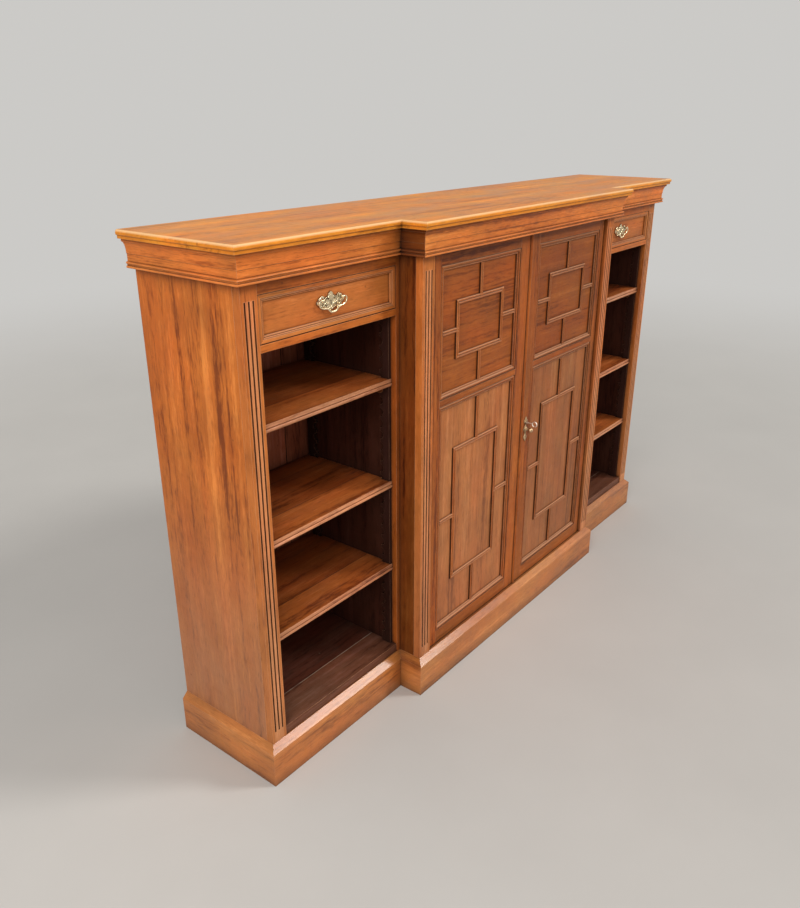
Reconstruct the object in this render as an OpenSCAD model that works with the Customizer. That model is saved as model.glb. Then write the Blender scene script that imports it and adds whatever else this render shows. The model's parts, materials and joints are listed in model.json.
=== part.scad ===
// Breakfront bookcase: two open wings with a drawer each, and a centre cupboard that stands forward,
// with a pair of panelled doors. X runs along the front, Y from front to back and Z up. Every piece is
// drawn with the wings' front in the plane Y = 0, and is then moved so that the origin lies on the
// floor under the middle of the top.

/* [Carcase] */
// Height from the floor to the upper face of the top
total_h = 1220; // [1170:1:1500]
// Width over the two end panels
body_w = 1874; // [1700:1:2400]
// Depth of a wing from its face to the back
wing_depth = 308; // [260:1:420]
// Width of the centre section over its pilasters
centre_w = 950; // [840:1:1050]
// How far the centre stands in front of the wings
centre_step = 66.5; // [56:0.5:110]
// Thickness of the end panels
end_panel_t = 20; // [14:0.5:28]
// Thickness of the centre cupboard's sides
centre_side_t = 22; // [16:0.5:28]
// Thickness of the wings' inner sides and of the stiles on their front edges
inner_side_t = 12; // [9:0.5:20]
// Thickness of the bottom boards
bottom_t = 22.4; // [16:0.2:28]
// Setback of the wings' bottom boards behind the face
bottom_setback = 2.5; // [0:0.5:8]
// Thickness of the board over the centre cupboard
centre_top_t = 18; // [12:0.5:24]
// Depth of the inner stile from front to back
inner_stile_d = 16; // [12:0.5:24]
// Gap left for glue between pieces of one frame
glue_line = 0.1; // [0.05:0.05:0.3]

/* [Plinth] */
// Height of the plinth
plinth_h = 102.6; // [80:0.2:140]
// How far the plinth stands out from the body
plinth_out = 15; // [8:0.5:20]
// Thickness of the plinth boards
plinth_board_t = 22; // [20.5:0.5:26]
// Height of the bevel on the plinth's upper edge
plinth_bevel = 15; // [6:0.5:24]
// Width of the bearers inside the plinth
bearer_w = 40; // [34:1:60]
// Thickness of the plinth's back rail
back_rail_t = 20; // [14:1:28]
// Height of the threshold rail that carries the lower door pivots
threshold_h = 30; // [20:1:45]

/* [Top and cornice] */
// Thickness of the top
top_t = 17.7; // [17:0.1:24]
// How far the top's nose stands out from the body
top_out = 35.5; // [34.5:0.5:44]
// Width of the rounding on the nose's upper edge
nose_round_w = 4.5; // [2:0.5:8]
// Height of the rounding on the nose's upper edge
nose_round_h = 6.5; // [3:0.1:7]
// Width and height of the rounding on the nose's lower edge
nose_under_r = 2.5; // [1:0.1:3]
// Height of the fillet worked below the nose
nose_fillet_h = 6.7; // [3:0.1:7]
// How far that fillet is set back behind the nose
nose_fillet_in = 3; // [1:0.5:4]
// Height from the underside of the astragal to the underside of the top
entablature_h = 58.9; // [54:0.1:90]
// Thickness of the frieze boards
frieze_t = 15.5; // [12:0.5:18]
// Height of the astragal moulding below the frieze
astragal_h = 13.6; // [12.6:0.2:20]
// How far the astragal stands out from the body
astragal_out = 20; // [19:0.5:26]
// Radius of the bead on the astragal's lower edge
astragal_bead_r = 2.7; // [2:0.1:3.5]
// Height of the rounding on the astragal's upper edge
astragal_cap_h = 4; // [2:0.1:5]
// Height of the cornice moulding under the top
cornice_h = 30.3; // [26:0.1:36]
// How far the cornice's upper edge stands out from the body
cornice_out = 25; // [20:0.5:30]
// Height of the cavetto below the cornice's fillet
cavetto_h = 23; // [15:0.5:24]

/* [Pilasters] */
// Width of the end pilasters
end_pilaster_w = 42; // [38:1:55]
// Width of the centre pilasters
centre_pilaster_w = 43; // [38:1:55]
// Thickness of the pilasters and of the wings' top rails
pilaster_t = 20; // [16:0.5:24]
// Number of flutes on a pilaster
flute_count = 3; // [2:1:3]
// Distance between the flutes' centres
flute_pitch = 10.8; // [8:0.1:12]
// Radius of the flutes' round bottoms
flute_r = 2; // [1.2:0.1:3.2]
// Depth of the flutes
flute_depth = 4.5; // [3.2:0.1:6]
// Distance from the astragal down to the flutes' upper ends
flute_top_margin = 34; // [15:0.2:60]
// Distance from the plinth up to the flutes' lower ends
flute_bottom_margin = 29.4; // [15:0.2:60]

/* [Drawers] */
// Height of the wings' top rail that shows below the astragal
top_rail_h = 24.8; // [12:0.2:30]
// Height of the drawer openings
drawer_open_h = 95.8; // [84:0.2:120]
// Height of the rail below each drawer
drawer_rail_h = 15.3; // [12:0.1:24]
// Depth of the rail below each drawer
drawer_rail_d = 60; // [40:1:80]
// Clearance round a drawer front
drawer_gap = 1; // [0.6:0.1:2]
// Clearance under the drawer sides
drawer_run_gap = 0.3; // [0.2:0.1:0.6]
// Setback of the drawer front's moulding behind the face
drawer_setback = 1.5; // [0:0.5:4]
// Width of the moulding on the drawer front
drawer_moulding_w = 15; // [12:0.5:18]
// Height of the moulding on the drawer front
drawer_moulding_h = 7; // [5:0.5:10]
// Thickness of the board behind the drawer's moulding
drawer_front_t = 16; // [14:0.5:20]
// Thickness of the drawer's sides and back
drawer_side_t = 10; // [8:0.5:14]
// Thickness of the drawer's bottom
drawer_bottom_t = 5; // [4:0.5:8]
// How far the drawer sides stop below the opening's top
drawer_side_drop = 10; // [4:0.5:16]
// Clearance behind a closed drawer
drawer_back_gap = 12; // [4:1:30]
// Length of the dovetails at the front of the drawer sides
dovetail_l = 9; // [6:0.5:11]
// Width of the runners and kickers beside the drawers
runner_w = 22; // [16:1:30]
// Thickness of the dust boards between the runners
dust_board_t = 6; // [4:0.5:9]

/* [Shelves] */
// Thickness of the shelves
shelf_t = 18.5; // [15:0.5:24]
// Setback of the wing shelves behind the face
shelf_setback = 12; // [6:0.5:15]
// Width of the moulded front board of a shelf
shelf_front_w = 85; // [60:1:120]
// Clearance at a shelf's ends and round the ladder strips
shelf_gap = 0.6; // [0.3:0.1:1.5]
// Clearance behind the shelves
shelf_back_gap = 2; // [1:0.5:10]
// Depth of the step in a shelf's front lip
shelf_lip_step = 2; // [1:0.5:3]
// Setback of the cupboard's shelves behind the doors' backs
cupboard_shelf_setback = 17; // [8:1:40]
// Width of the ladder strips
ladder_w = 28; // [24:1:36]
// Thickness of the ladder strips and of the battens
ladder_t = 8; // [6:0.5:12]
// Setback of the front ladder strips behind the shelves' fronts
ladder_front_setback = 4; // [3:0.5:12]
// Distance from the back boards to the rear ladder strips
ladder_back_setback = 10; // [6:1:24]
// Distance between the notches in a ladder strip
notch_pitch = 28.9; // [26:0.1:31]
// Height of the first notch above the bottom board
first_notch = 38.6; // [20:0.2:60]
// Height of the battens that carry the shelves
batten_h = 20; // [14:0.5:21]
// Clearance between a batten and its notch
notch_gap = 0.3; // [0.2:0.1:0.5]
// Number of the notch that carries each wing shelf, from the bottom
wing_shelf_notches = [7, 15, 24];
// Number of the notch that carries each cupboard shelf, from the bottom
cupboard_shelf_notches = [11, 22];

/* [Back] */
// Thickness of the back boards
back_t = 12; // [8:0.5:16]
// Number of vertical boards in the back
back_board_count = 21; // [12:1:30]
// Gap that shows between two back boards
back_board_gap = 1.2; // [0.6:0.1:3]
// Overlap of the back boards' rebated edges
back_board_lap = 6; // [4:0.5:10]

/* [Doors] */
// Thickness of the doors
door_t = 22; // [20:0.5:26]
// Setback of the doors' faces behind the centre pilasters
door_recess = 7; // [4:0.5:10]
// Gap between a door and the pilaster beside it
door_side_gap = 1.5; // [1.2:0.1:3]
// Gap under the doors
door_bottom_gap = 1.9; // [1:0.1:4]
// Gap above the doors
door_top_gap = 1.4; // [1:0.1:4]
// Gap between the two doors
door_meeting_gap = 2; // [1.2:0.1:3]
// Distance of that gap to the left of the middle
door_meeting_offset = 6; // [4:0.5:10]
// Width of the doors' outer stiles
outer_stile_w = 34; // [30:0.5:45]
// Width of the left door's meeting stile
left_meeting_stile_w = 43; // [36:0.5:50]
// Width of the right door's meeting stile
right_meeting_stile_w = 51; // [50:0.5:60]
// Height of the top rails
door_top_rail_h = 31; // [22:0.5:50]
// Height of the rails between the panels
door_mid_rail_h = 16; // [14:0.5:40]
// Height of the bottom rails
door_bottom_rail_h = 38; // [26:0.5:80]
// Height of the upper panels' openings
upper_panel_h = 320; // [220:1:380]
// Thickness of the door panels
panel_t = 8; // [6:0.5:9]
// Depth of the grooves that hold the panels
panel_groove = 5; // [4:0.5:6]
// Clearance of the panels in their grooves
panel_gap = 0.1; // [0.05:0.05:0.3]
// Wood left between the end of a tenon and the hole for the pivot pin
tenon_margin = 3; // [1:0.5:5]
// Clearance round a tenon, a recessed plate and the lock
seat_gap = 0.1; // [0.05:0.05:0.2]
// Width of the moulding round a panel
panel_moulding_w = 14; // [11:0.5:18]
// Height of the moulding round a panel
panel_moulding_h = 7.5; // [6:0.5:9]
// Width of the bead on the right door's meeting edge
meeting_bead_w = 12; // [8:0.5:14]
// How far that bead stands out from the door's face
meeting_bead_h = 5; // [3:0.5:7]

/* [Fretwork] */
// Width of the fret bars
fret_w = 12; // [8:0.5:16]
// Height of the fret bars above the panel
fret_h = 5; // [3:0.5:7]
// Width of the rectangles in the fretwork
fret_rect_w = 208; // [150:1:220]
// Height of the rectangle on an upper panel
fret_upper_h = 143; // [90:1:170]
// Height of the rectangle on a lower panel
fret_lower_h = 379; // [250:1:420]

/* [Pivots] */
// Radius of the door pivot pins
pivot_pin_r = 3.5; // [2.5:0.1:4.5]
// Running clearance of a pin in its plate
pivot_clearance = 0.05; // [0.03:0.01:0.1]
// How far a pivot pin reaches into the door
pivot_pin_l = 12; // [8:0.5:16]
// Thickness of the pivot plates
pivot_plate_t = 2; // [1.5:0.5:3]
// Half the width of the pivot plates
pivot_plate_r = 7; // [6:0.5:8]
// Length of the pivot plates beyond the pin
pivot_plate_l = 18; // [14:1:20]

/* [Lock and key] */
// Height of the keyhole above the floor
key_z = 617; // [500:1:700]
// Distance of the keyhole from the right door's meeting edge
key_inset = 29; // [28:0.5:31]
// Width of the lock case
lock_w = 44; // [42:0.5:44.5]
// Height of the lock case
lock_h = 54; // [46:1:70]
// Thickness of the lock case
lock_t = 11.5; // [11:0.5:12.5]
// Wall of the lock case
lock_wall = 1.5; // [1:0.1:2]
// How far the bolt travels
bolt_travel = 9; // [6:0.5:10]
// Height of the bolt
bolt_h = 11; // [8:0.5:14]
// Thickness of the bolt
bolt_t = 6; // [4:0.5:7]
// Clearance round the bolt
bolt_gap = 0.2; // [0.1:0.05:0.4]
// Radius of the key's shank
key_shank_r = 2.1; // [1.6:0.1:2.4]
// Reach of the key's bit from the key's axis
key_bit_r = 5.6; // [4.5:0.1:6]
// Distance from the door's face to the middle of the key's bow
key_bow_out = 29; // [24:0.5:31]
// Radius of the key's bow to the middle of its ring
key_bow_r = 7; // [5:0.5:8]
// Radius of the wire of the key's bow
key_wire_r = 1.6; // [1.2:0.1:2]
// Height of the escutcheon plate
escutcheon_h = 75; // [60:1:90]
// Width of the escutcheon plate
escutcheon_w = 21; // [18:0.5:24]
// Thickness of the escutcheon plate
escutcheon_t = 1.5; // [1:0.1:2.5]
// Distance from the keyhole down to the knob
knob_drop = 20; // [18:0.5:24]
// Radius of the knob
knob_r = 8.5; // [6:0.5:9]
// Distance from the door's face to the middle of the knob
knob_out = 21; // [16:0.5:26]
// Radius of the knob's neck
knob_neck_r = 3; // [2:0.5:5]

/* [Handles] */
// Width of the handle's back plate
plate_w = 82; // [74:1:96]
// Height of the handle's back plate
plate_h = 40; // [30:1:48]
// Thickness of the handle's back plate
plate_t = 2; // [1.5:0.5:3]
// Height of the bail's pivots above the middle of the drawer opening
bail_rise = 8.3; // [4:0.1:12]
// Distance from the middle of the plate up to the bail's pivots
plate_drop = 5; // [0:0.5:8]
// Half the distance between the two posts
post_x = 34; // [30:0.5:36]
// Radius of the posts
post_r = 2.6; // [2:0.1:3.4]
// Radius of the balls on the posts
post_ball_r = 4.2; // [3.6:0.1:4.8]
// Distance from the drawer's sunk field to the bail's pivots
bail_out = 8.5; // [7.5:0.5:12]
// Radius of the bail's pins
bail_pin_r = 1.5; // [1:0.1:1.8]
// Running clearance of the bail's pins
bail_clearance = 0.05; // [0.03:0.01:0.1]
// Radius of the bail at its ends
bail_r = 1.7; // [1.4:0.1:2.2]
// Extra radius of the bail at its middle
bail_swell = 0.8; // [0:0.1:1.5]
// How far the bail hangs below its pivots
bail_drop = 27; // [20:0.5:30]

/* [Hidden] */

$fn = 48;
left = -1;
right = 1;
lower = 0;
upper = 1;
// Spare length for cutting shapes that reach past what they cut
over = 1;

walnut = [0.50, 0.26, 0.12];
dark_wood = [0.22, 0.11, 0.06];
pale_wood = [0.62, 0.44, 0.25];
brass = [0.74, 0.60, 0.34];
steel = [0.45, 0.44, 0.42];

// Heights
top_z = total_h - top_t;
astragal_z = top_z - entablature_h;
frieze_z = astragal_z + astragal_h;
drawer_top_z = astragal_z - top_rail_h;
drawer_floor_z = drawer_top_z - drawer_open_h;
drawer_rail_z = drawer_floor_z - drawer_rail_h;
bottom_top_z = plinth_h + bottom_t;

// Places across the front, measured on the left half and mirrored for the right
half_body = body_w / 2;
half_centre = centre_w / 2;
wing_x0 = -half_body + end_pilaster_w;
wing_x1 = -half_centre - inner_side_t;
wing_w = wing_x1 - wing_x0;
wing_mid_x = (wing_x0 + wing_x1) / 2;
cupboard_half_w = half_centre - centre_side_t;
doorway_half_w = half_centre - centre_pilaster_w;

// Places from front to back
back_y = wing_depth - back_t;
centre_face_y = -centre_step;
door_face_y = centre_face_y + door_recess;
door_back_y = door_face_y + door_t;
door_stop_gap = 1;
cupboard_front_y = door_back_y + door_stop_gap;
plinth_inside = plinth_board_t - plinth_out;
origin_y = (wing_depth - centre_step - top_out) / 2;

// The body's outline in plan, from the back of the left end round the front to the right end
outline = [
    [-half_body, wing_depth], [-half_body, 0], [-half_centre, 0], [-half_centre, centre_face_y],
    [half_centre, centre_face_y], [half_centre, 0], [half_body, 0], [half_body, wing_depth]
];
last_length = len(outline) - 2;

module placed() {
    translate([0, -origin_y, 0]) children();
}

// Mirrors what is drawn for the left half when the side is the right one
module on_side(side) {
    mirror([side == right ? 1 : 0, 0, 0]) children();
}

// A box from its lowest to its highest corner
module block(low, high) {
    translate(low) cube(high - low);
}

// Points of an elliptical arc from one angle to another
function arc(centre, rx, ry, from, to, steps) = [
    for (i = [0:steps]) let (a = from + (to - from) * i / steps)
        centre + [rx * cos(a), ry * sin(a)]
];

function direction(i) = (outline[i + 1] - outline[i]) / norm(outline[i + 1] - outline[i]);
function outward(i) = [direction(i).y, -direction(i).x];
function mitre(i) =
    i == 0 ? outward(0) :
    i == len(outline) - 1 ? outward(i - 1) :
    outward(i - 1) + outward(i);

// Extrudes a profile of (distance out from the body, height) along one length of the outline
module along_length(i, past) {
    span = norm(outline[i + 1] - outline[i]);
    facing = atan2(outward(i).y, outward(i).x);
    translate([outline[i + 1].x, outline[i + 1].y, 0])
        rotate([0, 0, facing])
        rotate([90, 0, 0])
        translate([0, 0, -past])
        linear_extrude(span + 2 * past) children();
}

// The plan of one length between its two mitre cuts, as a prism from z0 to z1
module mitre_prism(i, inner, outer, z0, z1) {
    start_trim = direction(i) * (i == 0 ? 0 : glue_line / 2);
    end_trim = direction(i) * (i == last_length ? 0 : glue_line / 2);
    translate([0, 0, z0 - over]) linear_extrude(z1 - z0 + 2 * over) polygon([
        outline[i] + mitre(i) * inner + start_trim,
        outline[i + 1] + mitre(i + 1) * inner - end_trim,
        outline[i + 1] + mitre(i + 1) * outer - end_trim,
        outline[i] + mitre(i) * outer + start_trim
    ]);
}

// Seven lengths of one profile round the body, mitred at the six corners
module mitred_run(inner, outer, z0, z1) {
    for (i = [0:last_length]) intersection() {
        along_length(i, outer + over) children();
        mitre_prism(i, inner, outer + over, z0, z1);
    }
}

// One length of frame moulding: the profile's x runs inwards from the edge and its y stands forward
module mitred_length(span, width, trim) {
    reach = width + over;
    intersection() {
        rotate([90, 0, 0]) rotate([90, 0, 90])
            linear_extrude(span, center = true) children();
        rotate([90, 0, 0]) linear_extrude(4 * width, center = true) polygon([
            [-span / 2 + trim, 0], [span / 2 - trim, 0],
            [span / 2 - trim - reach, reach], [-span / 2 + trim + reach, reach]
        ]);
    }
}

// Four mitred lengths round a rectangle that stands in the XZ plane, centred on the origin
module mitred_frame(w, h, width, trim) {
    for (k = [0:3]) let (across = k % 2 == 0)
        rotate([0, 90 * k, 0])
        translate([0, 0, -(across ? h : w) / 2])
        mitred_length(across ? w : h, width, trim) children();
}

// The top is a wide board and a deeper centre board in one, each with a nose on three edges.
// The nose is rounded above and below, and a fillet is worked under it.
function nose() = concat(
    [[top_out - nose_fillet_in, 0], [top_out - nose_fillet_in, nose_fillet_h]],
    arc([top_out - nose_under_r, nose_fillet_h + nose_under_r], nose_under_r, nose_under_r, -90, 0, 3),
    arc([top_out - nose_round_w, top_t - nose_round_h], nose_round_w, nose_round_h, 0, 90, 5)
);

module nosed_board(half, front_y) {
    edge = nose();
    last = len(edge) - 1;
    side_to_side = concat(
        [for (p = edge) [half + p.x, p.y]],
        [for (i = [last:-1:0]) [-half - edge[i].x, edge[i].y]]
    );
    front_to_back = concat(
        [[wing_depth, 0], [wing_depth, top_t]],
        [for (i = [last:-1:0]) [front_y - edge[i].x, edge[i].y]]
    );
    intersection() {
        translate([0, wing_depth, top_z]) rotate([90, 0, 0])
            linear_extrude(wing_depth - front_y + top_out) polygon(side_to_side);
        translate([-half - top_out, 0, top_z]) rotate([90, 0, 90])
            linear_extrude(2 * (half + top_out)) polygon(front_to_back);
    }
}

module top_board() {
    color(walnut) placed() {
        nosed_board(half_body, 0);
        nosed_board(half_centre, centre_face_y);
    }
}

// A tall cavetto that flares out to an upright fillet under the top
module cornice_mouldings() {
    base_z = top_z - cornice_h;
    edge = 1;
    profile = concat(
        [[frieze_t, base_z], [frieze_t + edge, base_z]],
        arc([cornice_out, base_z + edge], cornice_out - frieze_t - edge, cavetto_h, 180, 90, 8),
        [[cornice_out, top_z], [frieze_t, top_z]]
    );
    color(walnut) placed()
        mitred_run(frieze_t, cornice_out, base_z, top_z) polygon(profile);
}

module frieze_boards() {
    color(walnut) placed()
        mitred_run(0, frieze_t, frieze_z, top_z)
        translate([0, frieze_z]) square([frieze_t, top_z - frieze_z]);
}

// A round bead, a cove over it and a rounded edge that dies back to the frieze's face
module astragal_mouldings() {
    r = astragal_bead_r;
    bead_z = astragal_z + r;
    cap_z = frieze_z - astragal_cap_h;
    profile = concat(
        [[0, astragal_z]],
        arc([astragal_out - r, bead_z], r, r, -90, 90, 8),
        arc([astragal_out, bead_z + r], r, cap_z - bead_z - r, 165, 90, 4),
        arc([frieze_t, cap_z], astragal_out - frieze_t, astragal_cap_h, 15, 90, 4),
        [[0, frieze_z]]
    );
    color(walnut) placed()
        mitred_run(0, astragal_out, astragal_z, frieze_z) polygon(profile);
}

module plinth_boards() {
    color(walnut) placed()
        mitred_run(-plinth_inside, plinth_out, 0, plinth_h) polygon([
            [-plinth_inside, 0], [plinth_out, 0], [plinth_out, plinth_h - plinth_bevel],
            [0, plinth_h], [-plinth_inside, plinth_h]
        ]);
}

// Back rail, five bearers and the threshold rail with recesses for the lower pivot plates
module plinth_frame() {
    inside = plinth_inside + glue_line;
    rail_y = wing_depth - back_rail_t;
    threshold_back_y = cupboard_front_y + 12;
    bearer_back_y = rail_y - glue_line;
    module bearer(x, front_y) {
        block([x - bearer_w / 2, front_y, 0], [x + bearer_w / 2, bearer_back_y, plinth_h]);
    }
    color(dark_wood) placed() {
        block([-half_body + inside, rail_y, 0], [half_body - inside, wing_depth, plinth_h]);
        difference() {
            block([-half_centre + inside, centre_face_y + inside, plinth_h - threshold_h],
                  [half_centre - inside, threshold_back_y, plinth_h]);
            for (side = [left, right]) on_side(side)
                translate([0, 0, plinth_h - pivot_plate_t - seat_gap])
                pivot_plate_shape(pivot_plate_t + seat_gap + over, seat_gap);
        }
        bearer(0, threshold_back_y + glue_line);
        for (side = [left, right]) on_side(side) {
            bearer(-half_body + inside + bearer_w / 2, inside);
            bearer(-half_centre, inside);
        }
    }
}

module end_panel(side) {
    color(walnut) placed() on_side(side)
        block([-half_body, pilaster_t, plinth_h], [-half_body + end_panel_t, wing_depth, top_z]);
}

module left_end_panel() { end_panel(left); }
module right_end_panel() { end_panel(right); }

// A flute is a deep groove with a round bottom and square ends, cut in from the face at Y = 0
module flute(z0, z1) {
    straight = flute_depth - flute_r;
    translate([0, 0, z0]) linear_extrude(z1 - z0) polygon(concat(
        [[flute_r, -over]],
        arc([0, straight], flute_r, flute_r, 0, 180, 8),
        [[-flute_r, -over]]
    ));
}

module pilaster(x0, x1, face_y) {
    middle = (x0 + x1) / 2;
    difference() {
        block([x0, face_y, plinth_h], [x1, face_y + pilaster_t, top_z]);
        for (k = [0:flute_count - 1])
            translate([middle + (k - (flute_count - 1) / 2) * flute_pitch, face_y, 0])
            flute(plinth_h + flute_bottom_margin, astragal_z - flute_top_margin);
    }
}

module end_pilasters() {
    color(walnut) placed() for (side = [left, right]) on_side(side)
        pilaster(-half_body, wing_x0, 0);
}

module centre_pilasters() {
    color(walnut) placed() for (side = [left, right]) on_side(side)
        pilaster(-half_centre, -doorway_half_w, centre_face_y);
}

module wing_outer_sides() {
    color(dark_wood) placed() for (side = [left, right]) on_side(side)
        block([-half_body + end_panel_t, pilaster_t, plinth_h], [wing_x0, back_y, top_z]);
}

module wing_inner_sides() {
    color(dark_wood) placed() for (side = [left, right]) on_side(side)
        block([wing_x1, inner_stile_d, plinth_h], [-half_centre, back_y, top_z]);
}

module centre_sides() {
    color(walnut) placed() for (side = [left, right]) on_side(side)
        block([-half_centre, centre_face_y + pilaster_t, plinth_h], [-cupboard_half_w, back_y, top_z]);
}

module wing_bottoms() {
    color(dark_wood) placed() for (side = [left, right]) on_side(side)
        block([wing_x0, bottom_setback, plinth_h], [wing_x1, back_y, bottom_top_z]);
}

module centre_bottom() {
    color(dark_wood) placed()
        block([-cupboard_half_w, cupboard_front_y, plinth_h], [cupboard_half_w, back_y, bottom_top_z]);
}

module centre_top_panel() {
    color(dark_wood) placed()
        block([-cupboard_half_w, cupboard_front_y, astragal_z],
              [cupboard_half_w, back_y, astragal_z + centre_top_t]);
}

// The rail over the doors, with recesses for the upper pivot plates
module centre_top_rail() {
    color(walnut) placed() difference() {
        block([-doorway_half_w, centre_face_y, astragal_z], [doorway_half_w, cupboard_front_y, top_z]);
        for (side = [left, right]) on_side(side)
            translate([0, 0, astragal_z - over])
            pivot_plate_shape(pivot_plate_t + over + seat_gap, seat_gap);
    }
}

// The strip that both doors close against at the top
module door_stop() {
    stop_w = 12;
    stop_h = 16;
    color(walnut) placed()
        block([-cupboard_half_w, cupboard_front_y, astragal_z - stop_h],
              [cupboard_half_w, cupboard_front_y + stop_w, astragal_z]);
}

// Inner stile, top rail and drawer rail of one wing
module face_frame(side) {
    rail_x1 = wing_x1 - glue_line;
    color(walnut) placed() on_side(side) {
        block([wing_x1, 0, plinth_h], [-half_centre, inner_stile_d, top_z]);
        block([wing_x0, 0, drawer_top_z], [rail_x1, pilaster_t, top_z]);
        block([wing_x0, 0, drawer_rail_z], [rail_x1, drawer_rail_d, drawer_floor_z]);
    }
}

module left_face_frame() { face_frame(left); }
module right_face_frame() { face_frame(right); }

// Runners beside the dust boards carry the drawers, and kickers above stop them tipping
module drawer_bearers() {
    runner_y = drawer_rail_d + glue_line;
    kicker_y = pilaster_t + glue_line;
    kicker_h = top_rail_h;
    module pair(y, z0, z1) {
        block([wing_x0, y, z0], [wing_x0 + runner_w, back_y, z1]);
        block([wing_x1 - runner_w, y, z0], [wing_x1, back_y, z1]);
    }
    color(pale_wood) placed() for (side = [left, right]) on_side(side) {
        pair(runner_y, drawer_rail_z, drawer_floor_z);
        pair(kicker_y, drawer_top_z, drawer_top_z + kicker_h);
    }
}

module dust_boards() {
    z = (drawer_rail_z + drawer_floor_z - dust_board_t) / 2;
    color(pale_wood) placed() for (side = [left, right]) on_side(side)
        block([wing_x0 + runner_w, drawer_rail_d, z], [wing_x1 - runner_w, back_y, z + dust_board_t]);
}

// Vertical boards with rebated edges, each lapping behind the next
module back_boards() {
    inside = half_body - end_panel_t;
    pitch = 2 * inside / back_board_count;
    mid_y = (back_y + wing_depth) / 2;
    lap_gap = 0.3;
    color(dark_wood) placed() for (k = [0:back_board_count - 1]) {
        x0 = -inside + k * pitch;
        x1 = x0 + pitch;
        first = k == 0;
        last = k == back_board_count - 1;
        translate([0, 0, plinth_h]) linear_extrude(top_z - plinth_h) polygon([
            [x0, back_y],
            [x1 - (last ? 0 : back_board_gap), back_y],
            [x1 - (last ? 0 : back_board_gap), mid_y],
            [x1 + (last ? 0 : back_board_lap - lap_gap), mid_y],
            [x1 + (last ? 0 : back_board_lap - lap_gap), wing_depth],
            [x0 + (first ? 0 : back_board_lap), wing_depth],
            [x0 + (first ? 0 : back_board_lap), mid_y - lap_gap],
            [x0, mid_y - lap_gap]
        ]);
    }
}

// Depths of the front and rear ladder strips, from the front of the shelves that they serve
function ladder_front(shelf_y) = shelf_y + ladder_front_setback;
ladder_rear = back_y - ladder_back_setback - ladder_w;
cupboard_shelf_y = door_back_y + cupboard_shelf_setback;
notch_r = batten_h / 2 + notch_gap;

function notch_z(number) = bottom_top_z + first_notch + (number - 1) * notch_pitch;
function notch_count(end_z) = floor((end_z - notch_r - notch_z(1)) / notch_pitch) + 1;
function shelf_z(number) = notch_z(number) + batten_h / 2;

// One strip in the YZ plane with half-round notches along its inner edge
module ladder_strip(y0, notch_y, end_z) {
    rotate([90, 0, 90]) linear_extrude(ladder_t) difference() {
        translate([y0, bottom_top_z]) square([ladder_w, end_z - bottom_top_z]);
        for (n = [1:notch_count(end_z)]) translate([notch_y, notch_z(n)]) circle(notch_r, $fn = 24);
    }
}

module ladder_pair(x, shelf_y, end_z) {
    front = ladder_front(shelf_y);
    translate([x, 0, 0]) {
        ladder_strip(front, front + ladder_w, end_z);
        ladder_strip(ladder_rear, ladder_rear, end_z);
    }
}

module ladder_strips() {
    color(dark_wood) placed() for (side = [left, right]) on_side(side) {
        ladder_pair(wing_x0, shelf_setback, drawer_rail_z);
        ladder_pair(wing_x1 - ladder_t, shelf_setback, drawer_rail_z);
        ladder_pair(-cupboard_half_w, cupboard_shelf_y, astragal_z - over);
    }
}

// A batten with round ends that lie in the notches of its two strips
module batten(x, shelf_y, number) {
    y0 = ladder_front(shelf_y) + ladder_w;
    translate([x, 0, 0]) rotate([90, 0, 90]) linear_extrude(ladder_t) {
        translate([y0, notch_z(number) - batten_h / 2]) square([ladder_rear - y0, batten_h]);
        translate([y0, notch_z(number)]) circle(batten_h / 2, $fn = 24);
        translate([ladder_rear, notch_z(number)]) circle(batten_h / 2, $fn = 24);
    }
}

module shelf_battens() {
    color(dark_wood) placed() for (side = [left, right]) on_side(side) {
        for (n = wing_shelf_notches) {
            batten(wing_x0, shelf_setback, n);
            batten(wing_x1 - ladder_t, shelf_setback, n);
        }
        for (n = cupboard_shelf_notches) batten(-cupboard_half_w, cupboard_shelf_y, n);
    }
}

// A shelf is a moulded front board and a rear board, notched at the corners round the ladder strips
module shelf(x0, x1, front_y, z) {
    joint_y = front_y + shelf_front_w;
    end_y = back_y - shelf_back_gap;
    band_h = shelf_t * 0.45;
    lip = concat(
        [[front_y + shelf_lip_step, shelf_t], [front_y + shelf_lip_step, shelf_t - band_h]],
        arc([front_y + band_h / 2, band_h / 2 + 0.5], band_h / 2, band_h / 2 + 0.5, 90, 270, 8)
    );
    module strip_notches(y0) {
        cut = ladder_t + shelf_gap;
        for (x = [x0 - over, x1 - cut])
            translate([x, y0 - shelf_gap, z - over])
            cube([cut + over, ladder_w + 2 * shelf_gap, shelf_t + 2 * over]);
    }
    difference() {
        translate([x0 + shelf_gap, 0, z]) rotate([90, 0, 90])
            linear_extrude(x1 - x0 - 2 * shelf_gap)
            polygon(concat(lip, [[joint_y - glue_line, 0], [joint_y - glue_line, shelf_t]]));
        strip_notches(ladder_front(front_y));
    }
    difference() {
        block([x0 + shelf_gap, joint_y, z], [x1 - shelf_gap, end_y, z + shelf_t]);
        strip_notches(ladder_rear);
    }
}

module wing_shelf(side, number) {
    color(walnut) placed() on_side(side)
        shelf(wing_x0, wing_x1, shelf_setback, shelf_z(wing_shelf_notches[number]));
}

module left_lower_shelf() { wing_shelf(left, 0); }
module left_middle_shelf() { wing_shelf(left, 1); }
module left_upper_shelf() { wing_shelf(left, 2); }
module right_lower_shelf() { wing_shelf(right, 0); }
module right_middle_shelf() { wing_shelf(right, 1); }
module right_upper_shelf() { wing_shelf(right, 2); }

module cupboard_shelves() {
    color(dark_wood) placed() for (n = cupboard_shelf_notches)
        shelf(-cupboard_half_w, cupboard_half_w, cupboard_shelf_y, shelf_z(n));
}

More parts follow.
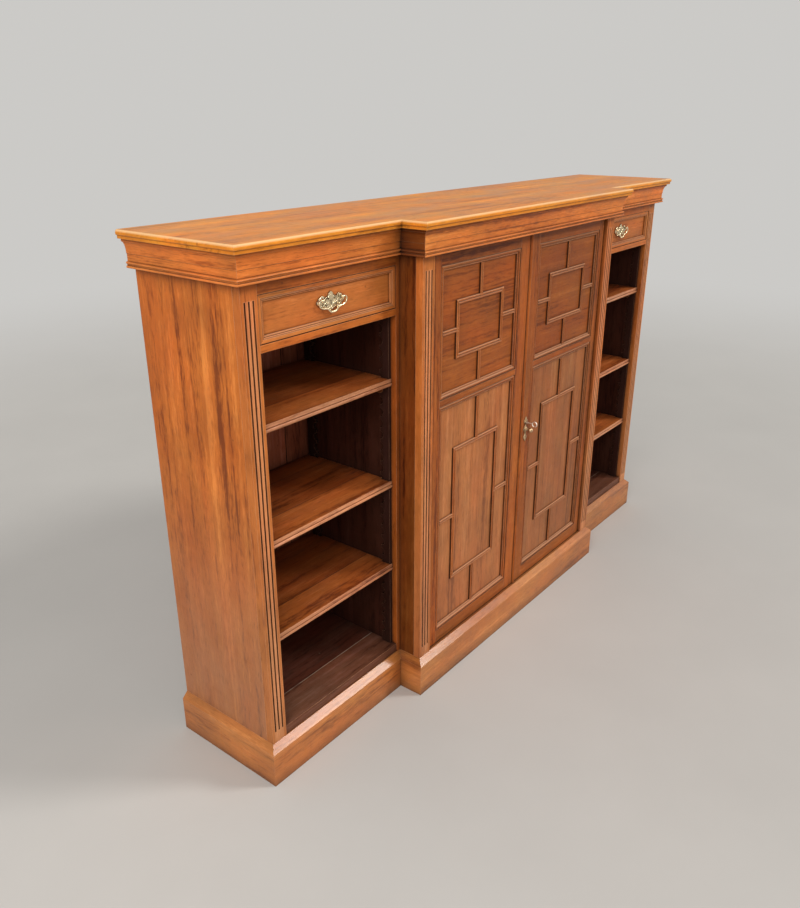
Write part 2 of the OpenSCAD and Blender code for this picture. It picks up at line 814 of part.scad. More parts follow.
// Doors are drawn for the left. The right one is mirrored, so its meeting edge lies past the middle.
door_x0 = -doorway_half_w + door_side_gap;
door_z0 = plinth_h + door_bottom_gap;
door_z1 = astragal_z - door_top_gap;
pivot_r = door_t / 2;
pivot_hole_r = pivot_pin_r + 0.5;
tenon_l = outer_stile_w - pivot_r - pivot_hole_r - tenon_margin;
pivot_x = door_x0 + pivot_r;
pivot_y = door_face_y + pivot_r;
panel_face_y = door_face_y + panel_moulding_h;
meeting_x = [-door_meeting_offset - door_meeting_gap / 2, door_meeting_offset - door_meeting_gap / 2];
meeting_stile_w = [left_meeting_stile_w, right_meeting_stile_w];
panel_x0 = door_x0 + outer_stile_w;
upper_panel_z1 = door_z1 - door_top_rail_h;
upper_panel_z0 = upper_panel_z1 - upper_panel_h;
lower_panel_z1 = upper_panel_z0 - door_mid_rail_h;
lower_panel_z0 = door_z0 + door_bottom_rail_h;
panel_z0 = [lower_panel_z0, upper_panel_z0];
panel_z1 = [lower_panel_z1, upper_panel_z1];

function meeting_edge(side) = meeting_x[side == left ? 0 : 1];
function panel_x1(side) = meeting_edge(side) - meeting_stile_w[side == left ? 0 : 1];
function panel_mid_x(side) = (panel_x0 + panel_x1(side)) / 2;
function panel_mid_z(level) = (panel_z0[level] + panel_z1[level]) / 2;

// The outline of a pivot plate round the pin, grown by a clearance where it is a recess
module pivot_plate_shape(thickness, grow) {
    translate([pivot_x, pivot_y, 0]) linear_extrude(thickness) {
        circle(pivot_plate_r + grow);
        translate([0, -pivot_plate_r - grow])
            square([pivot_plate_l + grow, 2 * (pivot_plate_r + grow)]);
    }
}

// Tenons of the three rails into the stiles, also used to cut the mortises
module tenons(side, grow) {
    margin = 4;
    rails = [
        [door_z0 + margin, lower_panel_z0],
        [lower_panel_z1, upper_panel_z0],
        [upper_panel_z1, door_z1 - margin]
    ];
    for (r = rails)
        block([panel_x0 - tenon_l - grow, panel_face_y - grow, r[0] - grow],
              [panel_x1(side) + tenon_l + grow, panel_face_y + panel_t + grow, r[1] + grow]);
}

// The space that the two panels fill in their grooves
module panel_space(side, edge, play) {
    for (level = [lower, upper])
        block([panel_x0 - edge, panel_face_y - play, panel_z0[level] - edge],
              [panel_x1(side) + edge, panel_face_y + panel_t + play, panel_z1[level] + edge]);
}

module door_stiles(side) {
    stile_h = door_z1 - door_z0;
    hole_l = pivot_pin_l + 2;
    recess = pivot_plate_t + seat_gap;
    difference() {
        translate([0, 0, door_z0]) union() {
            linear_extrude(stile_h) {
                translate([pivot_x, pivot_y]) circle(pivot_r);
                translate([pivot_x, door_face_y]) square([panel_x0 - pivot_x, door_t]);
            }
            translate([panel_x1(side), door_face_y, 0])
                cube([meeting_edge(side) - panel_x1(side), door_t, stile_h]);
        }
        panel_space(side, panel_groove, panel_gap);
        tenons(side, seat_gap);
        translate([0, 0, door_z0 - over]) pivot_plate_shape(recess + over, seat_gap);
        translate([0, 0, door_z1 - recess]) pivot_plate_shape(recess + over, seat_gap);
        translate([pivot_x, pivot_y, door_z0 - over]) cylinder(hole_l + over, r = pivot_hole_r);
        translate([pivot_x, pivot_y, door_z1 - hole_l]) cylinder(hole_l + over, r = pivot_hole_r);
    }
}

module door_rails(side) {
    difference() {
        union() {
            for (z = [[door_z0, lower_panel_z0], [lower_panel_z1, upper_panel_z0], [upper_panel_z1, door_z1]])
                block([panel_x0, door_face_y, z[0]], [panel_x1(side), door_back_y, z[1]]);
            tenons(side, 0);
        }
        panel_space(side, panel_groove, panel_gap);
    }
}

module door_panels(side) {
    panel_space(side, panel_groove - 4 * panel_gap, 0);
}

// Section from the frame inwards: quirk, large bead, groove, small bead
module panel_moulding_profile() {
    w = panel_moulding_w;
    h = panel_moulding_h;
    big = w * 0.28;
    small = w * 0.14;
    polygon(concat(
        [[0, 0], [0, h * 0.85], [w * 0.06, h * 0.85]],
        arc([w * 0.08 + big, h - big], big, big, 170, 15, 7),
        arc([w - small - 0.2, h * 0.34], small, small, 150, 0, 4),
        [[w, h * 0.3], [w, 0]]
    ));
}

module door_mouldings(side) {
    trim = glue_line / 2;
    for (level = [lower, upper])
        translate([panel_mid_x(side), panel_face_y, panel_mid_z(level)])
        mitred_frame(panel_x1(side) - panel_x0, panel_z1[level] - panel_z0[level], panel_moulding_w, trim)
        panel_moulding_profile();
}

// Section of a fret bar: two reeds with a groove between them
module fret_profile() {
    reed = fret_w / 4;
    polygon(concat(
        [[fret_w, 0], [0, 0]],
        arc([reed, fret_h - reed], reed, reed, 180, 20, 5),
        arc([fret_w - reed, fret_h - reed], reed, reed, 160, 0, 5)
    ));
}

// A mitred rectangle with one bar from the middle of each side to the panel's moulding
module fret_lattice(w, h, opening_w, opening_h) {
    mitred_frame(w, h, fret_w, 0) fret_profile();
    for (k = [0:3]) {
        across = k % 2 == 0;
        inner = (across ? h : w) / 2 - fret_w / 2;
        outer = (across ? opening_h : opening_w) / 2 - panel_moulding_w;
        rotate([0, 90 * k, 0])
            translate([-fret_w / 2, 0, inner])
            linear_extrude(outer - inner) mirror([0, 1]) fret_profile();
    }
}

module door_frets(side) {
    heights = [fret_lower_h, fret_upper_h];
    for (level = [lower, upper])
        translate([panel_mid_x(side), panel_face_y, panel_mid_z(level)])
        fret_lattice(fret_rect_w, heights[level], panel_x1(side) - panel_x0, panel_z1[level] - panel_z0[level]);
}

// Plates with a running hole for the pin, sunk in both ends of the outer stile
module door_pivots() {
    for (z = [door_z0, door_z1 - pivot_plate_t]) difference() {
        translate([0, 0, z]) pivot_plate_shape(pivot_plate_t, 0);
        translate([pivot_x, pivot_y, z - over])
            cylinder(pivot_plate_t + 2 * over, r = pivot_pin_r + pivot_clearance);
    }
}

// Plates sunk in the threshold rail and in the top rail, each with the pin that a door turns on
module carcase_pivots() {
    lower_pin_l = pivot_plate_t + door_bottom_gap + pivot_pin_l;
    upper_pin_l = pivot_plate_t + door_top_gap + pivot_pin_l;
    color(steel) placed() for (side = [left, right]) on_side(side) {
        translate([0, 0, plinth_h - pivot_plate_t]) {
            pivot_plate_shape(pivot_plate_t, 0);
            translate([pivot_x, pivot_y, 0]) cylinder(lower_pin_l, r = pivot_pin_r);
        }
        translate([0, 0, astragal_z]) pivot_plate_shape(pivot_plate_t, 0);
        translate([pivot_x, pivot_y, astragal_z + pivot_plate_t - upper_pin_l])
            cylinder(upper_pin_l, r = pivot_pin_r);
    }
}

// The lock sits in the right door's meeting stile
lock_x0 = -meeting_edge(right);
key_x = lock_x0 + key_inset;
lock_y1 = door_back_y - 1;
lock_y0 = lock_y1 - lock_t;
lock_z0 = key_z - lock_h / 2;
bolt_z0 = key_z + 4;
bolt_y0 = (lock_y0 + lock_y1 - bolt_t) / 2;
bolt_x1 = key_x + 12;
slot_w = 3.2;
slot_drop = 7;

module keyhole(y0, y1, grow) {
    translate([key_x, y1, key_z]) rotate([90, 0, 0])
        cylinder(y1 - y0, r = key_shank_r + bolt_gap + grow);
    block([key_x - slot_w / 2, y0, key_z - slot_drop], [key_x + slot_w / 2, y1, key_z]);
}

module bolt_bar(grow, x0, x1) {
    block([x0, bolt_y0 - grow, bolt_z0 - grow], [x1, bolt_y0 + bolt_t + grow, bolt_z0 + bolt_h + grow]);
}

module left_door_stiles() {
    mortise_x1 = meeting_edge(left);
    mortise_x0 = lock_x0 - bolt_travel - 1.5;
    color(walnut) placed() difference() {
        door_stiles(left);
        bolt_bar(5 * bolt_gap, mortise_x0, mortise_x1 + over);
    }
}

module right_door_stiles() {
    color(walnut) placed() difference() {
        on_side(right) door_stiles(right);
        block([lock_x0 - over, lock_y0 - seat_gap, lock_z0 - seat_gap],
              [lock_x0 + lock_w + seat_gap, door_back_y + over, lock_z0 + lock_h + seat_gap]);
        keyhole(door_face_y - over, lock_y0 + over, 0.6);
    }
}

module left_door_rails() { color(walnut) placed() door_rails(left); }
module right_door_rails() { color(walnut) placed() on_side(right) door_rails(right); }
module left_door_panels() { color(walnut) placed() door_panels(left); }
module right_door_panels() { color(walnut) placed() on_side(right) door_panels(right); }
module left_door_mouldings() { color(walnut) placed() door_mouldings(left); }
module right_door_mouldings() { color(walnut) placed() on_side(right) door_mouldings(right); }
module left_door_frets() { color(walnut) placed() door_frets(left); }
module right_door_frets() { color(walnut) placed() on_side(right) door_frets(right); }
module left_door_pivots() { color(brass) placed() door_pivots(); }
module right_door_pivots() { color(brass) placed() on_side(right) door_pivots(); }

// A half-round bead that covers the gap between the doors
module meeting_bead() {
    color(walnut) placed()
        translate([lock_x0 + meeting_bead_w / 2, door_face_y, door_z0])
        linear_extrude(door_z1 - door_z0)
        polygon(arc([0, 0], meeting_bead_w / 2, meeting_bead_h, -180, 0, 10));
}

// Half the width of the escutcheon at a height from -1 to 1: a waisted shape with pointed ends
function escutcheon_half(t) = escutcheon_w / 2 * (0.62 + 0.38 * cos(540 * t)) * pow(1 - t * t, 0.4);

module escutcheon_plate() {
    steps = 24;
    plate_mid_z = key_z - knob_drop;
    side_points = [for (i = [1:steps - 1]) let (t = 2 * i / steps - 1) [escutcheon_half(t), t * escutcheon_h / 2]];
    edge = concat(
        [[0, -escutcheon_h / 2]], side_points, [[0, escutcheon_h / 2]],
        [for (i = [steps - 2:-1:0]) [-side_points[i].x, side_points[i].y]]
    );
    ball_back = sqrt(knob_r * knob_r - knob_neck_r * knob_neck_r);
    color(brass) placed() {
        difference() {
            translate([key_x, door_face_y, plate_mid_z]) rotate([90, 0, 0])
                linear_extrude(escutcheon_t) polygon(edge);
            keyhole(door_face_y - escutcheon_t - over, door_face_y + over, 0);
        }
        translate([key_x, door_face_y, plate_mid_z]) rotate([90, 0, 0]) {
            cylinder(escutcheon_t + 2, r1 = knob_neck_r + 2.4, r2 = knob_neck_r + 1.4);
            cylinder(knob_out - ball_back + over, r = knob_neck_r);
            translate([0, 0, knob_out]) sphere(knob_r);
        }
    }
}

// A steel case, hollow round the bolt and the key's bit
module door_lock() {
    color(steel) placed() difference() {
        block([lock_x0, lock_y0, lock_z0], [lock_x0 + lock_w, lock_y1, lock_z0 + lock_h]);
        block([lock_x0 + lock_wall, lock_y0 + lock_wall, lock_z0 + lock_wall],
              [lock_x0 + lock_w - lock_wall, lock_y1 - lock_wall, lock_z0 + lock_h - lock_wall]);
        keyhole(lock_y0 - over, lock_y0 + lock_wall + over, 0);
        bolt_bar(bolt_gap, lock_x0 - over, lock_x0 + lock_wall + over);
    }
}

// The bolt's tail is cut away where the key's bit turns under it
module lock_bolt() {
    tail_z = key_z + key_bit_r + 0.6;
    color(brass) placed() difference() {
        bolt_bar(0, lock_x0 + bolt_gap, bolt_x1);
        block([key_x - key_bit_r - 0.6, bolt_y0 - over, bolt_z0 - over],
              [bolt_x1 + over, bolt_y0 + bolt_t + over, tail_z]);
    }
}

module key() {
    bow_y = door_face_y - key_bow_out;
    shank_front_y = bow_y + key_bow_r;
    shank_back_y = lock_y1 - lock_wall - 0.5;
    bit_l = bolt_t - 1;
    bit_t = 2;
    collar_y = door_face_y - escutcheon_t - 4;
    color(brass) placed() translate([key_x, 0, key_z]) {
        translate([0, bow_y, 0]) rotate([0, 90, 0])
            rotate_extrude() translate([key_bow_r, 0]) circle(key_wire_r, $fn = 24);
        translate([0, shank_back_y, 0]) rotate([90, 0, 0])
            cylinder(shank_back_y - shank_front_y, r = key_shank_r);
        translate([0, collar_y, 0]) rotate([90, 0, 0]) cylinder(3, r = key_shank_r + 1);
        block([-bit_t / 2, bolt_y0 + 0.5, -key_bit_r], [bit_t / 2, bolt_y0 + 0.5 + bit_l, 0]);
    }
}

// Drawers are drawn for the left wing
drawer_x0 = wing_x0 + drawer_gap;
drawer_x1 = wing_x1 - drawer_gap;
drawer_z0 = drawer_floor_z + drawer_gap;
drawer_z1 = drawer_top_z - drawer_gap;
field_y = drawer_setback + drawer_moulding_h;
front_back_y = field_y + drawer_front_t;
box_z0 = drawer_floor_z + drawer_run_gap;
box_z1 = drawer_top_z - drawer_side_drop;
box_y1 = back_y - drawer_back_gap;
drawer_bottom_z = box_z0 + 9;
groove_d = 5;

// Three dovetails on the front end of each drawer side, wider at their ends
module dovetails(grow) {
    pitch = (box_z1 - box_z0) / 3;
    neck = pitch * 0.28;
    flare = pitch * 0.38;
    for (x = [drawer_x0, drawer_x1 - drawer_side_t], k = [0:2])
        translate([x - grow, 0, box_z0 + (k + 0.5) * pitch]) rotate([90, 0, 90])
        linear_extrude(drawer_side_t + 2 * grow) polygon([
            [front_back_y + over, -neck - grow], [front_back_y + over, neck + grow],
            [front_back_y, neck + grow], [front_back_y - dovetail_l - grow, flare + grow],
            [front_back_y - dovetail_l - grow, -flare - grow], [front_back_y, -neck - grow]
        ]);
}

module drawer_bottom_panel(edge, play) {
    block([drawer_x0 + drawer_side_t - edge, front_back_y - edge, drawer_bottom_z - play],
          [drawer_x1 - drawer_side_t + edge, box_y1, drawer_bottom_z + drawer_bottom_t + play]);
}

module drawer_front(side) {
    color(walnut) placed() on_side(side) difference() {
        block([drawer_x0, field_y, drawer_z0], [drawer_x1, front_back_y, drawer_z1]);
        dovetails(seat_gap);
        drawer_bottom_panel(groove_d, panel_gap);
    }
}

// Section from the outside inwards: flat band, bead, groove, smaller bead
module drawer_moulding_profile() {
    w = drawer_moulding_w;
    h = drawer_moulding_h;
    polygon(concat(
        [[0, 0], [0, h - 0.8], [0.8, h], [w * 0.5, h], [w * 0.56, h * 0.86]],
        arc([w * 0.66, h * 0.78], w * 0.09, w * 0.09, 160, 0, 4),
        arc([w * 0.86, h * 0.52], w * 0.09, w * 0.09, 160, 0, 4),
        [[w, h * 0.4], [w, 0]]
    ));
}

module drawer_moulding(side) {
    color(walnut) placed() on_side(side)
        translate([wing_mid_x, field_y, (drawer_z0 + drawer_z1) / 2])
        mitred_frame(drawer_x1 - drawer_x0, drawer_z1 - drawer_z0, drawer_moulding_w, glue_line / 2)
        drawer_moulding_profile();
}

// Two dovetailed sides, a back and a bottom that slides in below the back
module drawer_box(side) {
    side_edge = drawer_side_t + glue_line;
    color(pale_wood) placed() on_side(side) {
        difference() {
            union() {
                for (x = [drawer_x0, drawer_x1 - drawer_side_t])
                    block([x, front_back_y, box_z0], [x + drawer_side_t, box_y1, box_z1]);
                dovetails(0);
            }
            drawer_bottom_panel(groove_d, panel_gap);
        }
        block([drawer_x0 + side_edge, box_y1 - drawer_side_t, drawer_bottom_z + drawer_bottom_t + glue_line],
              [drawer_x1 - side_edge, box_y1, box_z1 - 4]);
        drawer_bottom_panel(groove_d - 2 * panel_gap, 0);
    }
}

module left_drawer_front() { drawer_front(left); }
module right_drawer_front() { drawer_front(right); }
module left_drawer_moulding() { drawer_moulding(left); }
module right_drawer_moulding() { drawer_moulding(right); }
module left_drawer_box() { drawer_box(left); }
module right_drawer_box() { drawer_box(right); }

bail_z = (drawer_floor_z + drawer_top_z) / 2 + bail_rise;
bail_y = field_y - bail_out;

// A rounded hump of a given height and spread, used for the plate's scalloped outline
function hump(x, centre, spread, height) = height * exp(-pow((x - centre) / spread, 2));

// Upper and lower edges of the back plate at a place from -1 to 1 along its width
function plate_taper(t) = pow(1 - pow(abs(t), 3), 0.5);
function plate_top(t) = plate_h / 2 * plate_taper(t)
    * (0.40 + hump(t, 0, 0.20, 0.60) + hump(abs(t), 0.62, 0.16, 0.34));
function plate_bottom(t) = -plate_h / 2 * plate_taper(t)
    * (0.42 + hump(t, 0, 0.16, 0.56) + hump(abs(t), 0.50, 0.20, 0.36));

// Back plate with scalloped edges, pierced scrolls and two posts whose balls take the bail's pins
module handle_plate(side) {
    steps = 36;
    edge = concat(
        [for (i = [0:steps]) let (t = 2 * i / steps - 1) [t * plate_w / 2, plate_top(t)]],
        [for (i = [steps - 1:-1:1]) let (t = 2 * i / steps - 1) [t * plate_w / 2, plate_bottom(t)]]
    );
    piercings = [[0.22, 0.10, 2.6], [0.34, -0.22, 2.4], [0.50, 0.16, 2.2], [0.60, -0.20, 2.0], [0.14, -0.34, 1.8]];
    color(brass) placed() on_side(side) translate([wing_mid_x, field_y, bail_z]) rotate([90, 0, 0])
        difference() {
            union() {
                translate([0, -plate_drop]) linear_extrude(plate_t) polygon(edge);
                for (x = [-post_x, post_x]) translate([x, 0, 0]) {
                    cylinder(bail_out, r = post_r);
                    cylinder(plate_t + 1.2, r1 = post_r + 2.6, r2 = post_r + 1);
                    translate([0, 0, bail_out]) sphere(post_ball_r);
                }
            }
            for (p = piercings, s = [-1, 1])
                translate([s * p[0] * plate_w / 2, p[1] * plate_h - plate_drop, -over])
                cylinder(plate_t + 2 * over, r = p[2], $fn = 24);
            for (x = [-post_x, post_x])
                translate([x - 2 * post_ball_r, 0, bail_out]) rotate([0, 90, 0])
                cylinder(4 * post_ball_r, r = bail_pin_r + bail_clearance);
        }
}

module left_handle_plate() { handle_plate(left); }
module right_handle_plate() { handle_plate(right); }

function bezier(p, t) =
    pow(1 - t, 3) * p[0] + 3 * pow(1 - t, 2) * t * p[1] + 3 * (1 - t) * t * t * p[2] + pow(t, 3) * p[3];

// The bail's line: out from each post, down, and in two swan-neck curves to the middle
pin_end = post_x + post_ball_r + 1;
swan_turn = [post_x - 1, -bail_drop * 0.61];
shoulder = [[pin_end, 0], [pin_end + 4.3, 0], [pin_end + 4.8, -bail_drop * 0.48], swan_turn];
swag = [swan_turn, [post_x - 12, -bail_drop * 0.74], [14, -bail_drop], [0, -bail_drop]];
curve_steps = 9;
half_bail = concat(
    [for (i = [0:curve_steps]) bezier(shoulder, i / curve_steps)],
    [for (i = [1:curve_steps]) bezier(swag, i / curve_steps)]
);
bail_line = concat(half_bail, [for (i = [len(half_bail) - 2:-1:0]) [-half_bail[i].x, half_bail[i].y]]);

// A tube swept along a flat line in the XZ plane, thicker towards its middle
module swept_bail() {
    sides = 8;
    rings = len(bail_line);
    points = [
        for (i = [0:rings - 1])
            let (
                ahead = bail_line[min(i + 1, rings - 1)],
                behind = bail_line[max(i - 1, 0)],
                along = (ahead - behind) / norm(ahead - behind),
                r = bail_r + bail_swell * sin(180 * i / (rings - 1))
            )
            for (k = [0:sides - 1]) let (a = 360 * k / sides)
                [bail_line[i].x - along.y * r * cos(a), r * sin(a), bail_line[i].y + along.x * r * cos(a)]
    ];
    walls = [
        for (i = [0:rings - 2], k = [0:sides - 1])
            let (n = (k + 1) % sides)
            [i * sides + k, i * sides + n, (i + 1) * sides + n, (i + 1) * sides + k]
    ];
    ends = [
        [for (k = [sides - 1:-1:0]) k],
        [for (k = [0:sides - 1]) (rings - 1) * sides + k]
    ];
    polyhedron(points, concat(walls, ends), convexity = 4);
}

module bail(side) {
    pin_inner = post_x - post_ball_r - 0.5;
    color(brass) placed() on_side(side) translate([wing_mid_x, bail_y, bail_z]) {
        swept_bail();
        for (s = [-1, 1]) translate([s * (pin_inner + pin_end) / 2, 0, 0]) rotate([0, 90, 0])
            cylinder(pin_end - pin_inner + 0.6, r = bail_pin_r, center = true);
    }
}

module left_bail() { bail(left); }
module right_bail() { bail(right); }

top_board();
cornice_mouldings();
frieze_boards();
astragal_mouldings();
plinth_boards();
plinth_frame();
left_end_panel();
right_end_panel();
end_pilasters();
centre_pilasters();
wing_outer_sides();
wing_inner_sides();
centre_sides();
wing_bottoms();
centre_bottom();
centre_top_panel();
centre_top_rail();
door_stop();
left_face_frame();
right_face_frame();
drawer_bearers();
dust_boards();
back_boards();
ladder_strips();
shelf_battens();
left_lower_shelf();
left_middle_shelf();
left_upper_shelf();
right_lower_shelf();
right_middle_shelf();
right_upper_shelf();
cupboard_shelves();
carcase_pivots();
left_door_stiles();
left_door_rails();
left_door_panels();
left_door_mouldings();
left_door_frets();
left_door_pivots();
right_door_stiles();
right_door_rails();
right_door_panels();
right_door_mouldings();
right_door_frets();
right_door_pivots();
meeting_bead();
escutcheon_plate();
door_lock();
lock_bolt();
key();
left_drawer_front();
left_drawer_moulding();
left_drawer_box();
left_handle_plate();
left_bail();
right_drawer_front();
right_drawer_moulding();
right_drawer_box();
right_handle_plate();
right_bail();
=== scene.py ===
"""Finishes, cast brassware and studio for a walnut breakfront bookcase.

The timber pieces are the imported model's own nodes, which get their finishes here.
The handles, the escutcheon, the knob, the bails and the lock's screws are surfaces made here.
Every length is in metres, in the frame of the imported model: X to the right, Y to the back, Z up.
"""

import json
import math

import bpy
import numpy as np
from bpy.props import FloatProperty, FloatVectorProperty, PointerProperty
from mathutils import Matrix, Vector


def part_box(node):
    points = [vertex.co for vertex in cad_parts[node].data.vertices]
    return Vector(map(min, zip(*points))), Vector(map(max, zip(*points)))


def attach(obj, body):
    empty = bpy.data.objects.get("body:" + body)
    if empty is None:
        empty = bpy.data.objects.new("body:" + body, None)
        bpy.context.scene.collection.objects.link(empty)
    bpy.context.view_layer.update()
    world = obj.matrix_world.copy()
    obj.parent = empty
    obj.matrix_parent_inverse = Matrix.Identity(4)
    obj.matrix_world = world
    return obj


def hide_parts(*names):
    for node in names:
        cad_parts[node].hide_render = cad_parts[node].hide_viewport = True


bl_info = {
    "name": "Breakfront bookcase",
    "version": (1, 0, 0),
    "blender": (4, 5, 0),
    "location": "3D View > Sidebar > Bookcase",
    "description": "Finishes a walnut breakfront bookcase, its brassware and its studio",
    "category": "Object",
}

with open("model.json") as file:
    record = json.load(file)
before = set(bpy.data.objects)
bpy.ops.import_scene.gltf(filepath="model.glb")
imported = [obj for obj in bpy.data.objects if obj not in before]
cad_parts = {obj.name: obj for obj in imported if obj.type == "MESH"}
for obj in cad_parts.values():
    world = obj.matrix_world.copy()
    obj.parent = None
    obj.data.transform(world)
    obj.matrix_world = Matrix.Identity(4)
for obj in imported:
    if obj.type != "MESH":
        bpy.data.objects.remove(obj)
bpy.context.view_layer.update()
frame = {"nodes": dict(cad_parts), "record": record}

MM = 0.001
SIDES = ("left", "right")
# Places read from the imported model
WING_FRONT_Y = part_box("end_pilasters")[0].y
CENTRE_FRONT_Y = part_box("centre_pilasters")[0].y
BODY_HALF_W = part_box("end_pilasters")[1].x
CENTRE_HALF_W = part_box("centre_pilasters")[1].x
DOOR_FACE_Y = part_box("left_door_stiles")[0].y
PIVOTS = {joint["child"]: Vector(joint["pos_m"])
          for joint in frame["record"]["behaviour"]["joints"] if "pos_m" in joint}
KEYHOLE = PIVOTS["key"]
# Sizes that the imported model's boxes don't give
LOCK_RAIL_Z = 783 * MM  # between the doors' upper and lower panels
PILASTER_W = 42 * MM
STILE_SHOWING = 12 * MM  # what shows of a wing's inner stile, beside the centre
FRET_RECTANGLE_W = 208 * MM
FRET_BAR_W = 12 * MM
PANEL_MOULDING_W = 8 * MM
NAIL_ROWS = (118 * MM, 640 * MM, 1152 * MM)  # heights of the nails in the back

# How fine the timber's patterns are, along, across and through a board
BEND_SCALE = (1.1, 5.0, 5.0)
RIPPLE_SCALE = (26.0, 34.0, 10.0)
STREAK_SCALE = (3.4, 90.0, 90.0)
RIBBON_SCALE = (1.3, 22.0, 22.0)
FLECK_SCALE = (30.0, 180.0, 180.0)
FIBRE_SCALE = (9.0, 620.0, 620.0)
PORE_SCALE = (40.0, 760.0, 760.0)
WARMTH_SCALE = (3.5, 11.0, 11.0)
WAX_SCALE = (7.0, 13.0, 13.0)
SCRATCH_SCALE = (240.0, 14.0, 90.0)
# How far a board's pattern and rings are moved from its neighbours', and a timber's from another's
BOARD_SHIFT, RING_SHIFT, SEED_STEP = (9.0, 3.0, 5.0), 3.7, 17.3
# The pith lies this far to either side of a board's edge, and this far below its face
PITH_ASIDE, PITH_DEPTH, PITH_DEPTH_RANGE = 0.35, 0.10, 0.25
# How much of the figure is rings, streaks, ribbons and flecks
RING_SHARE, STREAK_SHARE, RIBBON_SHARE, FLECK_SHARE = 0.18, 0.21, 0.37, 0.24
# Slow drift of the wood's colour between two tints
REDDER, PALER = (1.00, 0.88, 0.84), (1.00, 1.10, 1.12)
LAMP_COLOUR = (1.0, 0.98, 0.95)


# --------------------------------------------------------------------------- settings

def colour(name, description, value):
    """A colour setting, linear red, green and blue."""
    return FloatVectorProperty(name=name, description=description, default=value,
                               subtype="COLOR", size=3, min=0.0, max=1.0)


def length(name, description, metres):
    """A length setting in metres, from a third of its default to three times it."""
    return FloatProperty(name=name, description=description, default=metres, min=metres / 3,
                         max=metres * 3, unit="LENGTH", precision=4)


def coordinate(name, description, metres):
    """The camera's place along one axis, in metres."""
    return FloatProperty(name=name, description=description, default=metres, min=-10.0, max=10.0,
                         unit="LENGTH", precision=4)


def plain(name, description, value, high):
    """A plain number setting, from 0."""
    return FloatProperty(name=name, description=description, default=value, min=0.0, max=high)


def turn(name, description, degrees):
    """An angle setting, given in degrees."""
    return FloatProperty(name=name, description=description, default=math.radians(degrees),
                         unit="ROTATION")


class TimberSettings(bpy.types.PropertyGroup):
    """Colours of the timbers and the sizes of their figure."""

    show: colour("Show wood", "Outside walnut", (0.55, 0.146, 0.023))
    cornice: colour("Cornice", "Cornice and frieze", (0.75, 0.212, 0.038))
    top: colour("Top", "Sun-faded top", (0.76, 0.256, 0.026))
    # Painted highlight on the top's rounded nose
    nose: colour("Nose", "Rounded edge of the top, polished by hands", (1.0, 0.66, 0.34))
    drawer: colour("Drawer fronts", "Drawer fronts", (0.56, 0.170, 0.036))
    pilaster: colour("Pilasters", "Pilasters", (0.52, 0.150, 0.030))
    # Painted highlight on the lands between the flutes
    land: colour("Flutes", "Rubbed lands between the flutes", (0.64, 0.225, 0.078))
    # The shelves' edge colour, with a painted highlight
    rim: colour("Shelf edges", "Moulded edges of the shelves", (0.60, 0.245, 0.115))
    plinth: colour("Plinth", "Plinth", (0.50, 0.168, 0.038))
    door: colour("Doors", "Doors", (0.37, 0.092, 0.014))
    panel: colour("Lower panels", "Lower panels of the doors", (0.45, 0.146, 0.042))
    # Painted shade on the returns beside the wings
    recess: colour("Returns", "Returns beside the wings", (0.20, 0.048, 0.007))
    shelf: colour("Shelf fronts", "Front boards of the shelves", (0.43, 0.113, 0.024))
    rear: colour("Shelf rears", "Boards behind them", (0.29, 0.070, 0.015))
    floor: colour("Bottoms", "Front boards of the wing bottoms", (0.085, 0.032, 0.017))
    inside: colour("Inside", "Stained inside", (0.050, 0.0145, 0.008))
    back: colour("Back", "Back boards", (0.36, 0.105, 0.050))
    pine: colour("Drawer wood", "Sides of the drawers", (0.48, 0.290, 0.120))
    pale_gain: colour("Pale streaks", "As shares of twice the main colour", (0.65, 0.73, 0.90))
    dark_gain: colour("Dark lines", "As shares of the main colour", (0.42, 0.34, 0.36))
    # Painted reflection of the floor on the lower parts
    bloom: colour("Dull wax", "Scuffed and dusty wax near the floor", (0.30, 0.180, 0.112))
    # Worn edges, with painted highlights on edges and on faces that look up
    worn: colour("Worn edges", "Edges and ledges rubbed pale", (0.68, 0.34, 0.18))
    # Colour of dirt, old wax, pores and nail stains, and of painted shade in corners and on side
    # faces
    grime: colour("Grime", "Old wax and dirt in the corners", (0.020, 0.007, 0.004))
    dust: colour("Dust", "Dust on surfaces that face up inside", (0.20, 0.15, 0.11))
    nail: colour("Nails", "Nail heads in the back boards", (0.09, 0.060, 0.045))
    ring_pitch: length("Ring pitch", "From one year ring to the next", 0.0085)
    edge_round: length("Edge rounding", "Radius of the rubbed edges", 0.0015)
    # corner_reach is how far the grime and painted shade reach from a corner
    corner_reach: length("Corner reach", "How far grime leaves a corner", 0.010)
    front_board_w: length("Front board", "Depth of a shelf's front board", 0.085)
    back_board_w: length("Back board", "Width of each board of the back", 0.087333)
    flute_top: length("Flute top", "Height of the flutes' upper ends", 1.1094)
    nail_r: length("Nail radius", "Radius of the nail heads", 0.0028)


